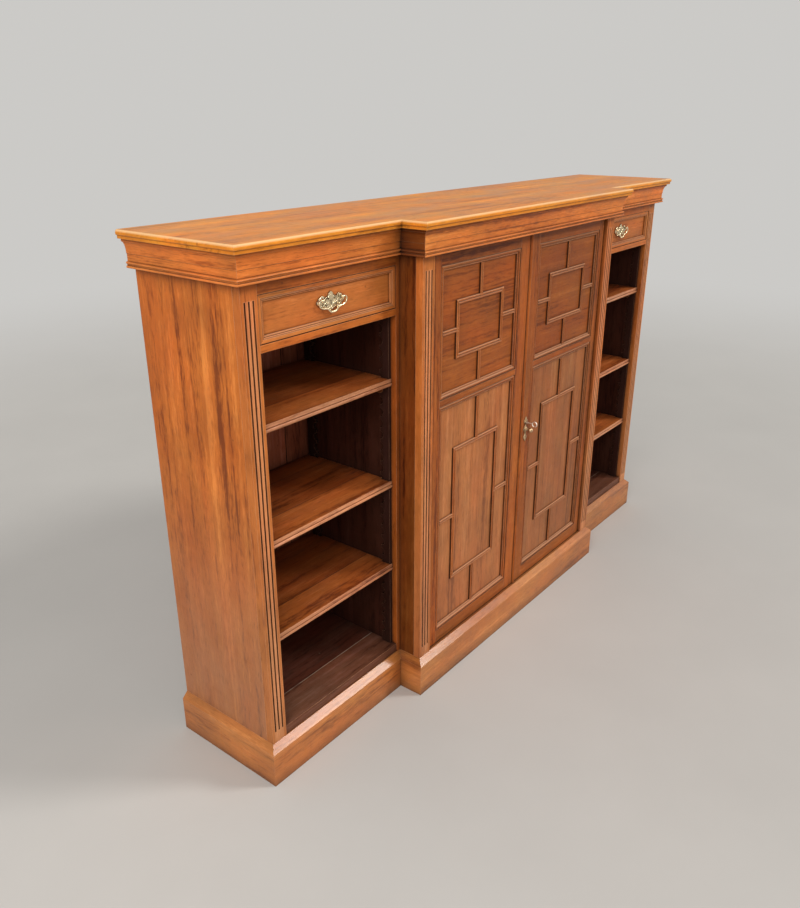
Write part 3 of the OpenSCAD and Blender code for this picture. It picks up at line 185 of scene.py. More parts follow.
class BrassSettings(bpy.types.PropertyGroup):
    """Colours and sizes of the metalwork."""

    brass: colour("Brass", "Polished high spots of the brass", (0.90, 0.74, 0.48))
    dull_brass: colour("Dull brass", "Brass that is rarely rubbed", (0.62, 0.42, 0.24))
    tarnish: colour("Tarnish", "Brown film in its hollows", (0.060, 0.043, 0.018))
    bright_steel: colour("Handled steel", "Steel of the key", (0.95, 0.86, 0.76))
    steel: colour("Steel", "Steel of the lock and screws", (0.45, 0.43, 0.40))
    rust: colour("Rust", "Rust film on the steel", (0.13, 0.06, 0.03))
    field_depth: length("Field depth", "From the bail's pins back to the drawer's field", 0.0085)
    plate_w: length("Plate width", "Width of the handle's back plate", 0.082)
    plate_h: length("Plate height", "Height of the handle's back plate", 0.040)
    plate_t: length("Plate thickness", "Thickness of the plate at its edge", 0.0014)
    plate_relief: length("Plate relief", "Height of the cast ornament", 0.0024)
    plate_drop: length("Plate drop", "From the bail's pins down to the plate's middle", 0.005)
    post_x: length("Post distance", "From the handle's middle to a post", 0.030)
    post_ball_r: length("Post ball", "Radius of the balls on the posts", 0.0042)
    bail_r: length("Bail radius", "Radius of the bail at its ends", 0.0017)
    bail_swell: length("Bail swell", "Extra radius at its middle", 0.0008)
    bail_drop: length("Bail drop", "How far it hangs below its pins", 0.027)
    pin_r: length("Pin radius", "Radius of the bail's pins", 0.0015)
    escutcheon_h: length("Escutcheon height", "Height of its plate", 0.075)
    escutcheon_w: length("Escutcheon width", "Width of its plate", 0.021)
    knob_drop: length("Knob drop", "From the keyhole down to the knob", 0.020)
    knob_out: length("Knob distance", "From the door's face to its middle", 0.017)
    knob_r: length("Knob radius", "Radius of the knob", 0.0075)
    screw_r: length("Screw radius", "Radius of the lock's screw heads", 0.0026)


class StudioSettings(bpy.types.PropertyGroup):
    """Floor, lamps and camera."""

    floor: colour("Floor", "Pale studio floor", (0.60, 0.585, 0.56))
    backdrop: colour("Backdrop", "Colour behind the floor", (0.60, 0.59, 0.57))
    world_light: plain("World light", "Strength of the even light from all round", 0.42, 2.0)
    key_light: plain("Key lamp", "Strength of the lamp at the right front", 1.3, 20.0)
    fill_light: plain("Fill lamp", "Strength of the broad lamp at the left front", 0.9, 20.0)
    near_light: plain("Near lamp", "Watts of the soft lamp above the near end", 40.0, 500.0)
    camera_x: coordinate("Camera X", "Place of the camera from left to right", -1.9155)
    camera_y: coordinate("Camera Y", "Place of the camera from front to back", -1.2469)
    camera_z: coordinate("Camera Z", "Height of the camera", 1.4267)
    camera_turn: turn("Camera turn", "From straight back towards the right", 51.581)
    camera_tilt: turn("Camera tilt", "How far the camera looks down", 22.451)
    camera_roll: turn("Camera roll", "Roll of the camera about its view", 0.084)
    lens: plain("Lens", "Focal length in millimetres on a 36 mm sensor", 32.70, 200.0)


# --------------------------------------------------------------------------- shader wiring

class Value:
    """One output in a node tree. It adds, multiplies and compares by placing one more node."""

    def __init__(self, wiring, socket):
        self.wiring = wiring
        self.socket = socket

    def worked(self, operation, *others):
        """The result of one Math node, or of one Vector Math node on a vector or colour."""
        kind = "Math" if self.socket.type == "VALUE" else "VectorMath"
        return self.wiring.put(kind, dict(enumerate((self, *others))), operation=operation)

    def __add__(self, other):
        return self.worked("ADD", other)

    def __sub__(self, other):
        return self.worked("SUBTRACT", other)

    def __rsub__(self, other):
        return self.wiring.math("SUBTRACT", other, self)

    def __mul__(self, other):
        return self.worked("MULTIPLY", other)

    def __truediv__(self, other):
        return self.worked("DIVIDE", other)

    def __gt__(self, other):
        return self.worked("GREATER_THAN", other)

    def __lt__(self, other):
        return self.worked("LESS_THAN", other)

    def __abs__(self):
        return self.worked("ABSOLUTE")

    def clamped(self):
        """The same value, which its own node now keeps from 0 to 1."""
        self.socket.node.use_clamp = True
        return self


class Wiring:
    """Places nodes in one tree and joins them, so that a finish reads like a recipe."""

    def __init__(self, tree):
        self.tree = tree

    def fill(self, node, inputs):
        """Links or sets the inputs of a node."""
        for name, value in inputs.items():
            socket = node.inputs[name]
            if isinstance(value, Value):
                self.tree.links.new(value.socket, socket)
            else:
                socket.default_value = (*value, 1.0) if socket.type == "RGBA" else value

    def node(self, kind, inputs=None, **settings):
        """Adds one node."""
        node = self.tree.nodes.new("ShaderNode" + kind)
        for name, value in settings.items():
            setattr(node, name, value)
        self.fill(node, inputs or {})
        return node

    def put(self, kind, inputs=None, outlet=0, **settings):
        """Adds one node and returns one of its outputs."""
        return Value(self, self.node(kind, inputs, **settings).outputs[outlet])

    def outputs(self, kind, inputs=None, **settings):
        """Adds one node and returns its outputs by name."""
        node = self.node(kind, inputs, **settings)
        return {output.name: Value(self, output) for output in node.outputs}

    def math(self, operation, a, b=0.0):
        """The result of one Math node."""
        return self.put("Math", {0: a, 1: b}, operation=operation)

    def most(self, a, b):
        """The larger of two values."""
        return self.math("MAXIMUM", a, b)

    def axes(self, vector):
        """The three parts of a vector."""
        return list(self.outputs("SeparateXYZ", {0: vector}).values())

    def length(self, a, b):
        """The length of a flat vector."""
        return self.math("SQRT", a * a + b * b)

    def facing(self):
        """The three parts of the direction that the surface faces, in the object's axes."""
        return self.axes(self.put("TexCoord", outlet="Normal"))

    def openness(self, reach):
        """How open a point is: 1 in the open, 0 where it is closed in within the reach."""
        return self.put("AmbientOcclusion", {"Distance": reach}, outlet="AO", samples=8)

    def noise(self, vector, detail=2.0, roughness=0.5, scale=1.0, distortion=0.0):
        """Cloudy noise, from 0 to 1."""
        return self.put("TexNoise", {"Vector": vector, "Scale": scale, "Detail": detail,
                                     "Roughness": roughness, "Distortion": distortion})

    def spread(self, value, low, high, to_low=0.0, to_high=1.0, smooth=False):
        """Maps low..high to to_low..to_high and clamps."""
        return self.put("MapRange", {0: value, 1: low, 2: high, 3: to_low, 4: to_high},
                        interpolation_type="SMOOTHSTEP" if smooth else "LINEAR", clamp=True)

    def blend(self, factor, a, b, mode="MIX"):
        """Mixes two colours."""
        return self.put("Mix", {0: factor, 6: a, 7: b}, outlet=2, data_type="RGBA",
                        blend_type=mode)

    def choose(self, factor, a, b):
        """Mixes two vectors."""
        return self.put("Mix", {0: factor, 4: a, 5: b}, outlet=1, data_type="VECTOR")

    def ramp(self, value, stops):
        """A colour ramp with (place, colour) stops."""
        node = self.node("ValToRGB", {0: value})
        elements = node.color_ramp.elements
        while len(elements) < len(stops):
            elements.new(0.5)
        for element, (place, rgb) in zip(elements, stops):
            element.position = place
            element.color = (*rgb, 1.0)
        return Value(self, node.outputs[0])


def group_tree(build, inputs):
    """The node group of a recipe, with named sockets for its inputs and outputs."""
    tree = bpy.data.node_groups.new(build.__name__, "ShaderNodeTree")
    for name, default in inputs.items():
        kind = "NodeSocketVector" if default is None else "NodeSocketFloat"
        socket = tree.interface.new_socket(name=name, in_out="INPUT", socket_type=kind)
        if default is not None:
            socket.default_value = default
    w = Wiring(tree)
    entry = tree.nodes.new("NodeGroupInput")
    made = build(w, **{name: Value(w, entry.outputs[name]) for name in inputs})
    for name, value in made.items():
        kind = "NodeSocketVector" if value.socket.type == "VECTOR" else "NodeSocketFloat"
        tree.interface.new_socket(name=name, in_out="OUTPUT", socket_type=kind)
    w.fill(tree.nodes.new("NodeGroupOutput"), made)
    return tree


def shared_effect(**inputs):
    """Turns a recipe into a node group, made once and placed wherever the recipe is called.

    inputs are the group's own, with their defaults: a number, or None for a vector. The names in
    what the recipe returns become the outputs.
    """

    def decorated(build):
        def placed(w, **values):
            tree = bpy.data.node_groups.get(build.__name__) or group_tree(build, inputs)
            return w.outputs("Group", values, node_tree=tree)

        return placed

    return decorated


# --------------------------------------------------------------------------- grain directions

def board_order(w, vector, order):
    """Turns object coordinates so that X runs along the board, Y across it and Z through it."""
    axes = dict(zip("xyz", w.axes(vector)))
    return w.put("CombineXYZ", {i: axes[letter] for i, letter in enumerate(order)})


def board_vector(w, place, grain):
    """Board coordinates for a grain recipe: an axis order, or (mask, order at 0, order at 1)."""
    if isinstance(grain, str):
        return board_order(w, place, grain)
    mask, first, second = grain
    return w.choose(mask(w, place), board_order(w, place, first), board_order(w, place, second))


@shared_effect(vector=None)
def mitred_run(w, vector):
    """Masks of the mouldings' and plinth's lengths that run from front to back.

    The mitres lie at 45 degrees, so |x| + y is the same all along each, and its value says which
    of the seven lengths a point belongs to.
    """
    x, y, _z = w.axes(vector)
    place = abs(x) + y
    centre = (place > CENTRE_HALF_W + CENTRE_FRONT_Y) * (place < CENTRE_HALF_W + WING_FRONT_Y)
    return {"runs_back": w.most(place > BODY_HALF_W + WING_FRONT_Y, centre), "centre": centre}


@shared_effect(vector=None, middle_x=0.0, half_width=0.1, middle_z=0.0, half_height=0.1)
def mitred_frame(w, vector, middle_x, half_width, middle_z, half_height):
    """1 on the upright lengths of a mitred frame, where |dx| - half width > |dz| - half height."""
    x, _y, z = w.axes(vector)
    return {"upright": (abs(x - middle_x) - half_width) > (abs(z - middle_z) - half_height)}


def runs_back(w, place):
    """Mask of the mouldings and plinth boards that run from front to back."""
    return mitred_run(w, vector=place)["runs_back"]


def centre_return(w, place):
    """Mask of the centre's two lengths that run back to the wings."""
    return mitred_run(w, vector=place)["centre"]


def above_lock_rail(w, place):
    """Mask of the doors' upper panels, which have level grain."""
    return w.axes(place)[2] > LOCK_RAIL_Z


def below_lock_rail(w, place):
    """Mask of the doors' lower panels."""
    return 1.0 - above_lock_rail(w, place)


def beside_inner_stile(w, place):
    """Mask of the rails in the wings' face frames."""
    return abs(w.axes(place)[0]) > CENTRE_HALF_W + STILE_SHOWING


def inner_stile(w, place):
    """Mask of the wings' inner stiles."""
    return 1.0 - beside_inner_stile(w, place)


def drawer_frame(w, place):
    """Mask of the upright lengths of the mitred moulding on a drawer front."""
    low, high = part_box("right_drawer_moulding")
    return mitred_frame(
        w, vector=abs(place), middle_x=(low.x + high.x) / 2, half_width=(high.x - low.x) / 2,
        middle_z=(low.z + high.z) / 2, half_height=(high.z - low.z) / 2)["upright"]


def door_frame(side):
    """Mask of the upright lengths of the mitred mouldings round a door's two panels."""
    low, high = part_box(side + "_door_mouldings")
    lower_mid, upper_mid = (low.z + LOCK_RAIL_Z) / 2, (high.z + LOCK_RAIL_Z) / 2
    lower_half = LOCK_RAIL_Z - PANEL_MOULDING_W - lower_mid

    def mask(w, place):
        upper = above_lock_rail(w, place)
        return mitred_frame(
            w, vector=place, middle_x=(low.x + high.x) / 2, half_width=(high.x - low.x) / 2,
            middle_z=w.spread(upper, 0.0, 1.0, lower_mid, upper_mid),
            half_height=w.spread(upper, 0.0, 1.0, lower_half, high.z - upper_mid))["upright"]

    return mask


def lattice(side):
    """Mask of the fretwork's upright bars: the rectangle's two sides and the middle bar."""
    low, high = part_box(side + "_door_frets")

    def mask(w, place):
        dx = abs(w.axes(place)[0] - (low.x + high.x) / 2)
        from_side = abs(dx - (FRET_RECTANGLE_W - FRET_BAR_W) / 2)
        return w.math("MINIMUM", dx, from_side) < FRET_BAR_W / 2

    return mask


def in_front_of(y):
    """Mask of everything in front of an upright plane."""
    return lambda w, place: w.axes(place)[1] < y


def seam_at(y):
    """Mask of a glued joint along a shelf, about 2 mm wide."""
    return lambda w, place: w.spread(abs(w.axes(place)[1] - y), 1.2 * MM, 0.6 * MM)


def between_flutes(top):
    """Mask of the fluted strips in the middle of the four pilasters, up to the flutes' ends."""

    def mask(w, place):
        x, _y, z = w.axes(place)
        from_end, from_centre = (abs(abs(x) - (half_w - PILASTER_W / 2))
                                 for half_w in (BODY_HALF_W, CENTRE_HALF_W))
        strip = w.spread(w.math("MINIMUM", from_end, from_centre), 15 * MM, 13 * MM)
        return strip * w.spread(z, top + 2 * MM, top)

    return mask


# --------------------------------------------------------------------------- shared effects

@shared_effect(vector=None, board_pitch=10.0, first_board=0.0, seed=0.0, ring_pitch=0.0085,
               waviness=0.03, ripple=0.0)
def timber_figure(w, vector, board_pitch, first_board, seed, ring_pitch, waviness, ripple):
    """Year rings about a pith below the board, bent by slow noise, with streaks, flecks and pores.

    ring value = noise(distance from the pith / ring pitch). Each board of a given pitch draws its
    own pith and tone from white noise on its number.
    """
    _along, across, through = w.axes(vector)
    from_first = across - first_board
    number = w.math("FLOOR", from_first / board_pitch) + seed * SEED_STEP
    drawn = w.outputs("TexWhiteNoise", {"W": number}, noise_dimensions="1D")
    moved = vector + drawn["Color"] * BOARD_SHIFT
    bend = (w.noise(moved * BEND_SCALE, 2.0, 0.45) - 0.5) * waviness
    wobble = (w.noise(moved * RIPPLE_SCALE, 1.0) - 0.5) * ripple
    pith_across, pith_down, _ = w.axes(drawn["Color"])
    side = from_first + (pith_across - 0.5) * PITH_ASIDE
    depth = through + (pith_down * PITH_DEPTH_RANGE + PITH_DEPTH)
    bent = w.length(side, depth) + bend + wobble
    rings = w.put("TexNoise", {"W": bent / ring_pitch + number * RING_SHIFT, "Scale": 1.0,
                               "Detail": 3.0, "Roughness": 0.6}, noise_dimensions="1D")
    streak = w.noise(moved * STREAK_SCALE, 3.0, 0.6, distortion=0.25)
    ribbon = w.noise(moved * RIBBON_SCALE, 3.0, 0.55)
    fleck = w.noise(moved * FLECK_SCALE, 3.0, 0.65)
    figure = ((rings * RING_SHARE + streak * STREAK_SHARE)
              + (ribbon * RIBBON_SHARE + fleck * FLECK_SHARE))
    return {
        "figure": w.spread(figure, 0.405, 0.595),
        "fibre": w.noise(moved * FIBRE_SCALE, 2.0, 0.6),
        "pores": w.spread(w.noise(moved * PORE_SCALE, 1.0), 0.58, 0.70),
        "tone": drawn["Value"],
        "warmth": w.spread(w.noise(moved * WARMTH_SCALE, 3.0, 0.55), 0.32, 0.68),
    }


@shared_effect(radius=0.001, reach=0.01, vector=None)
def handled_edges(w, radius, reach, vector):
    """Rounds the shading at edges, and gives masks for pale edges and for dark corners.

    wear = how far the rounded normal turns from the true one, outside corners only: partly wear,
    partly a painted highlight.
    grime = how closed in the point is within the reach, and more faintly within 4 times it: partly
    dirt, partly painted shade.
    """
    rounded = w.put("Bevel", {"Radius": radius}, samples=6)
    true = w.put("NewGeometry", outlet="True Normal")
    agreement = w.put("VectorMath", {0: rounded, 1: true}, outlet=1, operation="DOT_PRODUCT")
    near, far = w.openness(reach), w.openness(reach * 4.0)
    patchy = w.noise(vector * (30.0, 30.0, 30.0), 3.0, 0.6)
    edge = w.spread(agreement, 0.997, 0.93) * w.spread(near, 0.40, 0.75)
    corner = w.most(w.spread(near, 0.92, 0.35), w.spread(far, 0.97, 0.45) * 0.62)
    return {"wear": edge * w.spread(patchy, 0.30, 0.60, 0.25, 1.0),
            "grime": corner * w.spread(patchy, 0.20, 0.60, 0.75, 1.0), "normal": rounded}


@shared_effect(vector=None, roughness=0.36)
def wax_polish(w, vector, roughness):
    """Old polish: cloudy waxing, fine scratches, small dents and dark spots.

    Gives a roughness, a height, a cloud that lightens or darkens in patches, and spots.
    """
    cloud = w.noise(vector * WAX_SCALE, 5.0, 0.62)
    scratches = w.spread(w.noise(vector * SCRATCH_SCALE, 1.0), 0.55, 0.75, 0.0, 0.10)
    cells = w.outputs("TexVoronoi", {"Vector": vector, "Scale": 22.0})
    rare = w.axes(cells["Color"])[1] > 0.86
    return {
        "roughness": (roughness + (w.spread(cloud, 0.3, 0.7, -0.06, 0.09) + scratches)).clamped(),
        "height": w.spread(cells["Distance"], 0.0, 0.10, -0.35, 0.0, smooth=True),
        "cloud": cloud,
        "spots": rare * w.spread(cells["Distance"], 0.075, 0.035),
    }


@shared_effect(vector=None, amount=0.5)
def settled_dust(w, vector, amount):
    """Dust on what faces up: faint swept patches, and sparse specks of plaster and wax."""
    swept = w.noise(vector * (6.0, 26.0, 6.0), 6.0, 0.75)
    cells = w.outputs("TexVoronoi", {"Vector": vector, "Scale": 42.0})
    rare = w.axes(cells["Color"])[0] > 0.90
    specks = rare * w.spread(cells["Distance"], 0.10, 0.05) * (amount * 1.4)
    film = w.spread(swept, 0.50, 0.80, 0.0, 0.35) * amount
    return {"dust": (w.spread(w.facing()[2], 0.5, 0.9) * w.most(film, specks)).clamped()}


@shared_effect(vector=None, board=0.0873, first=0.0, radius=0.003)
def nail_heads(w, vector, board, first, radius):
    """Two nails through each back board at three heights, with stains, and the joints' dark lines.

    distance from a nail = length of (distance along the board's width, distance from the row).
    """
    x, _y, z = w.axes(vector)
    from_middle = abs(w.math("FRACT", (x - first) / board) - 0.5)
    low, middle, high = (abs(z - height) for height in NAIL_ROWS)
    dz = w.math("MINIMUM", low, w.math("MINIMUM", middle, high))
    near = w.length((from_middle - 0.28) * board, dz) / radius
    back = w.spread(w.facing()[1], 0.5, 0.9)
    return {"joint": w.spread((0.5 - from_middle) * board, 1.8 * MM, 0.8 * MM),
            "head": back * w.spread(near, 1.05, 0.95),
            "stain": back * w.spread(near, 3.2, 1.0, 0.0, 0.7, smooth=True)}


@shared_effect(vector=None, reach=0.003, roughness=0.25)
def tarnish(w, vector, reach, roughness):
    """Film left in the hollows of cast or filed metal: a mask, a roughness and a fine height."""
    cloud = w.noise(vector, 4.0, 0.65, scale=180.0)
    film = w.most(w.spread(w.openness(reach), 0.92, 0.55), w.spread(cloud, 0.55, 0.80, 0.0, 0.35))
    return {"film": film, "roughness": (roughness + film * 0.30).clamped(),
            "height": w.noise(vector, 2.0, scale=1500.0)}


# --------------------------------------------------------------------------- finishes

def new_finish(name):
    """An empty material with one Principled shader. Returns the material, its wiring and shader."""
    material = bpy.data.materials.new(name)
    material.use_nodes = True
    material.node_tree.nodes.clear()
    w = Wiring(material.node_tree)
    shader = w.node("BsdfPrincipled")
    w.node("OutputMaterial", {"Surface": Value(w, shader.outputs[0])})
    return material, w, shader


def stained(w, value, settings, wood):
    """A wood's colours along its figure: dark lines, a broad main colour and pale streaks."""
    main = getattr(settings, wood)
    pale = [min(1.0, 2.0 * m * gain) for m, gain in zip(main, settings.pale_gain)]
    dark = [m * gain for m, gain in zip(main, settings.dark_gain)]
    return w.ramp(value, [(0.02, dark), (0.42, main), (0.60, main), (0.98, pale)])


def timber(name, wood, grain, seed, settings, areas=(), board=10.0, first=0.0, waviness=0.03,
           ripple=0.0, ring=1.0, tone=1.0, tones=0.12, contrast=1.0, roughness=0.42, gloss=0.15,
           coat=0.04, grime=1.0, reach=1.0, wear=1.0, ledge_highlight=0.0, painted_side_shade=0.0, nose=0.0, bloom=0.0,
           edge=None, dust=0.0, nails=False):
    """One waxed timber finish, built from the shared effects.

    wood names a colour in the settings. areas are (mask, wood) pairs for parts in another wood,
    and edge is the wood of faces that look forwards. tones is how far the boards differ. wear pales
    outside edges, partly worn and partly a painted highlight. grime darkens corners, partly dirt and
    partly painted shade. ledge pales faces that look up: a painted highlight. flank darkens faces
    that look to the side: painted shade. nose pales rounded edges between the two: a painted
    highlight. bloom turns the colour grey-brown towards the floor: a painted reflection of the floor.
    """
    material, w, shader = new_finish(name)
    place = w.put("TexCoord", outlet="Object")
    look_x, look_y, look_z = w.facing()
    vector = board_vector(w, place, grain)
    figure = timber_figure(
        w, vector=vector, board_pitch=board, first_board=first, seed=seed,
        ring_pitch=settings.ring_pitch * ring, waviness=waviness, ripple=ripple)
    edges = handled_edges(w, vector=place, radius=settings.edge_round,
                          reach=settings.corner_reach * reach)
    polish = wax_polish(w, vector=vector, roughness=roughness)

    # The wood itself
    value = w.spread(figure["figure"], 0.5 - 0.5 / contrast, 0.5 + 0.5 / contrast)
    body = stained(w, value, settings, wood)
    for mask, other in areas:
        body = w.blend(mask(w, place), body, stained(w, value, settings, other))
    if edge:
        body = w.blend(w.spread(look_y, -0.5, -0.8), body, stained(w, value, settings, edge))
    level = (w.spread(figure["tone"], 0.0, 1.0, tone * (1.0 - tones), tone * (1.0 + tones))
             * w.spread(polish["cloud"], 0.32, 0.68, 0.80, 1.17))
    body = w.blend(1.0, body, level, "MULTIPLY")
    body = w.blend(1.0, body, w.blend(figure["warmth"], REDDER, PALER), "MULTIPLY")

    # Wax, marks and wear, with a painted floor reflection and painted highlights
    # Painted reflection of the floor: grey-brown in patches, more towards the bottom
    if bloom:
        low = w.spread(w.axes(place)[2], 0.85, 0.15, 0.0, bloom, smooth=True)
        patches = w.spread(polish["cloud"], 0.3, 0.6, 0.6, 1.0)
        body = w.blend(low * patches, body, settings.bloom)
    marks = w.most(figure["pores"] * 0.45, polish["spots"] * 0.7)
    body = w.blend(marks, body, w.blend(0.6, body, settings.grime))
    # Outside edges are paled: partly wear, partly a painted highlight
    rubbed_and_highlit = edges["wear"] * (0.60 * wear)
    # Faces that look up are paled: a painted highlight
    if ledge_highlight:
        rubbed_and_highlit = w.most(rubbed_and_highlit, w.spread(look_z, 0.25, 0.75, 0.0, ledge_highlight))
    body = w.blend(rubbed_and_highlit, body, settings.worn)
    # The rounded nose is paled: a painted highlight
    if nose:
        rounded = w.spread(look_z, 0.15, 0.50) * w.spread(look_z, 0.995, 0.95)
        body = w.blend(rounded * nose, body, settings.nose)

    # Grime and painted shade in corners, painted shade on side faces, and dust
    rough = (polish["roughness"] + edges["grime"] * 0.18).clamped()
    dirt_and_shade = (edges["grime"] * (0.90 * grime)).clamped()
    # Faces that look to the side are darkened: painted shade
    if painted_side_shade:
        dirt_and_shade = w.most(dirt_and_shade, w.spread(abs(look_x), 0.70, 0.95, 0.0, painted_side_shade))
    body = w.blend(dirt_and_shade, body, settings.grime)
    if dust:
        film = settled_dust(w, vector=place, amount=dust)["dust"]
        body = w.blend(film, body, settings.dust)
        rough = (rough + film * 0.4).clamped()
    height = figure["fibre"] * 0.35 + (polish["height"] - figure["pores"] * 0.8)
    if nails:
        nail = nail_heads(w, vector=place, board=board, first=first, radius=settings.nail_r)
        body = w.blend(w.most(nail["stain"], nail["joint"]), body, settings.grime)
        body = w.blend(nail["head"], body, settings.nail)
        height = height + nail["head"] * 1.5

    bump = w.put("Bump", {"Strength": 0.35, "Distance": 0.4 * MM, "Height": height,
                          "Normal": edges["normal"]})
    w.fill(shader, {"Base Color": body, "Roughness": rough, "Normal": bump,
                    "Specular IOR Level": gloss, "Coat Weight": coat, "Coat Roughness": 0.16})
    return material


def metal(kind, settings):
    """One of the metals, made once: bright on its high spots and filmed in its hollows."""
    bright, film_colour, roughness, reach, brushed = {
        "aged_brass": (settings.brass, settings.tarnish, 0.24, 3.5 * MM, 0.0),
        "dull_brass": (settings.dull_brass, settings.tarnish, 0.38, 4.5 * MM, 0.0),
        "key_steel": (settings.bright_steel, settings.rust, 0.40, 2.0 * MM, 0.0),
        "lock_steel": (settings.steel, settings.rust, 0.34, 4.0 * MM, 0.4),
    }[kind]
    if kind in bpy.data.materials:
        return bpy.data.materials[kind]
    material, w, shader = new_finish(kind)
    place = w.put("TexCoord", outlet="Object")
    film = tarnish(w, vector=place, reach=reach, roughness=roughness)
    lines = w.noise(place * (60.0, 60.0, 2400.0), 1.0)
    bump = w.put("Bump", {"Strength": 0.25, "Distance": 0.1 * MM,
                          "Height": film["height"] + lines * brushed})
    w.fill(shader, {"Base Color": w.blend(film["film"], bright, film_colour),
                    "Roughness": film["roughness"],
                    "Metallic": w.spread(film["film"], 0.0, 1.0, 1.0, 0.75), "Normal": bump})
    return material


def both(kind):
    """The names of a left and a right node."""
    return [f"{side}_{kind}" for side in SIDES]


def dress(material, nodes):
    """Gives one finish to CAD nodes by their own material slots."""
    for name in nodes:
        piece = frame["nodes"][name]
        if not piece.material_slots:
            raise RuntimeError(f"{name} has no material slot")
        for slot in piece.material_slots:
            slot.link = "OBJECT"
            slot.material = material


# --------------------------------------------------------------------------- surfaces

def grid_faces(rows, columns, around=False):
    """Quads of a grid of points. around joins the last column to the first."""
    i, j = np.meshgrid(np.arange(rows - 1), np.arange(columns if around else columns - 1),
                       indexing="ij")
    j2 = (j + 1) % columns
    corners = (i * columns + j, (i + 1) * columns + j, (i + 1) * columns + j2, i * columns + j2)
    return np.stack(corners, axis=-1).reshape(-1, 4)


def welded(points, quads):
    """Joins points that coincide. Quads that lose one side become triangles, thinner ones go."""
    _, first, index = np.unique(np.round(points, 8), axis=0, return_index=True,
                                return_inverse=True)
    quads = index.reshape(-1)[quads]
    lost = quads == np.roll(quads, -1, axis=1)
    count = lost.sum(axis=1)
    kept = (lost.argmax(axis=1)[:, None] + 1 + np.arange(3)) % 4
    triangles = np.take_along_axis(quads, kept, axis=1)[count == 1]
    return points[first], quads[count == 0], triangles


def outward(points, quads, triangles):
    """Turns all faces over where the volume that they enclose comes out negative."""
    halves = np.concatenate([quads[:, [0, 1, 2]], quads[:, [0, 2, 3]], triangles])
    a, b, c = (points[halves[:, k]] for k in range(3))
    if np.einsum("ij,ij->", a, np.cross(b, c)) < 0:
        quads, triangles = quads[:, ::-1], triangles[:, ::-1]
    return quads, triangles


def closed_piece(context, name, shape, material, body, replaced=()):
    """Welds a closed surface, puts it in a mesh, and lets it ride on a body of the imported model."""
    points, quads, triangles = welded(*shape)
    quads, triangles = outward(points - points.mean(axis=0), quads, triangles)
    mesh = bpy.data.meshes.new(name)
    mesh.from_pydata(points.tolist(), [], quads.tolist() + triangles.tolist())
    mesh.polygons.foreach_set("use_smooth", np.ones(len(mesh.polygons), bool))
    mesh.materials.append(material)
    piece = bpy.data.objects.new(name, mesh)
    context.scene.collection.objects.link(piece)
    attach(piece, body)
    if replaced:
        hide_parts(*replaced)


def joined(*shapes):
    """Several (points, quads) shapes as one."""
    starts = np.cumsum([0] + [len(points) for points, _ in shapes[:-1]])
    return (np.concatenate([points for points, _ in shapes]),
            np.concatenate([quads + start for (_, quads), start in zip(shapes, starts)]))


def turned(profile, centre, around=40):
    """A turned shape on an axis that points forwards: (radius, distance out) carried round.

    x = centre + radius cos a, y = centre - distance, z = centre + radius sin a.
    """
    radius, out = np.asarray(profile, float).T[:, :, None]
    angle = np.linspace(0.0, 2.0 * np.pi, around, endpoint=False)
    points = np.stack([centre[0] + radius * np.cos(angle), centre[1] - out + 0.0 * angle,
                       centre[2] + radius * np.sin(angle)], axis=-1)
    return points.reshape(-1, 3), grid_faces(len(radius), around, around=True)


def ball_profile(out, ball_r, start, end, steps):
    """(radius, distance out) points of a ball on a turned axis, between two angles in degrees."""
    angle = np.radians(np.linspace(start, end, steps))
    return np.stack([ball_r * np.sin(angle), out - ball_r * np.cos(angle)], axis=1)


def swept_rod(path, radius, around=20):
    """A round rod on a flat path in the plane of the drawer front: circles square to the path.

    point = path + radius (cos a, in the plane and square to the path; sin a, forwards).
    """
    along = np.gradient(path, axis=0)
    along /= np.linalg.norm(along, axis=1, keepdims=True)
    normal = np.stack([-along[:, 2], 0.0 * along[:, 1], along[:, 0]], axis=1)
    angle = np.linspace(0.0, 2.0 * np.pi, around, endpoint=False)
    ring = (np.cos(angle)[None, :, None] * normal[:, None, :]
            + np.sin(angle)[None, :, None] * np.array([0.0, -1.0, 0.0]))
    points = path[:, None, :] + radius[:, None, None] * ring
    return points.reshape(-1, 3), grid_faces(len(path), around, around=True)


def curve(points, steps):
    """A cubic curve from its four control points."""
    a, b, c, d = (np.asarray(p, float) for p in points)
    t = np.linspace(0.0, 1.0, steps)[:, None]
    return (1 - t) ** 3 * a + 3 * (1 - t) ** 2 * t * b + 3 * (1 - t) * t ** 2 * c + t ** 3 * d


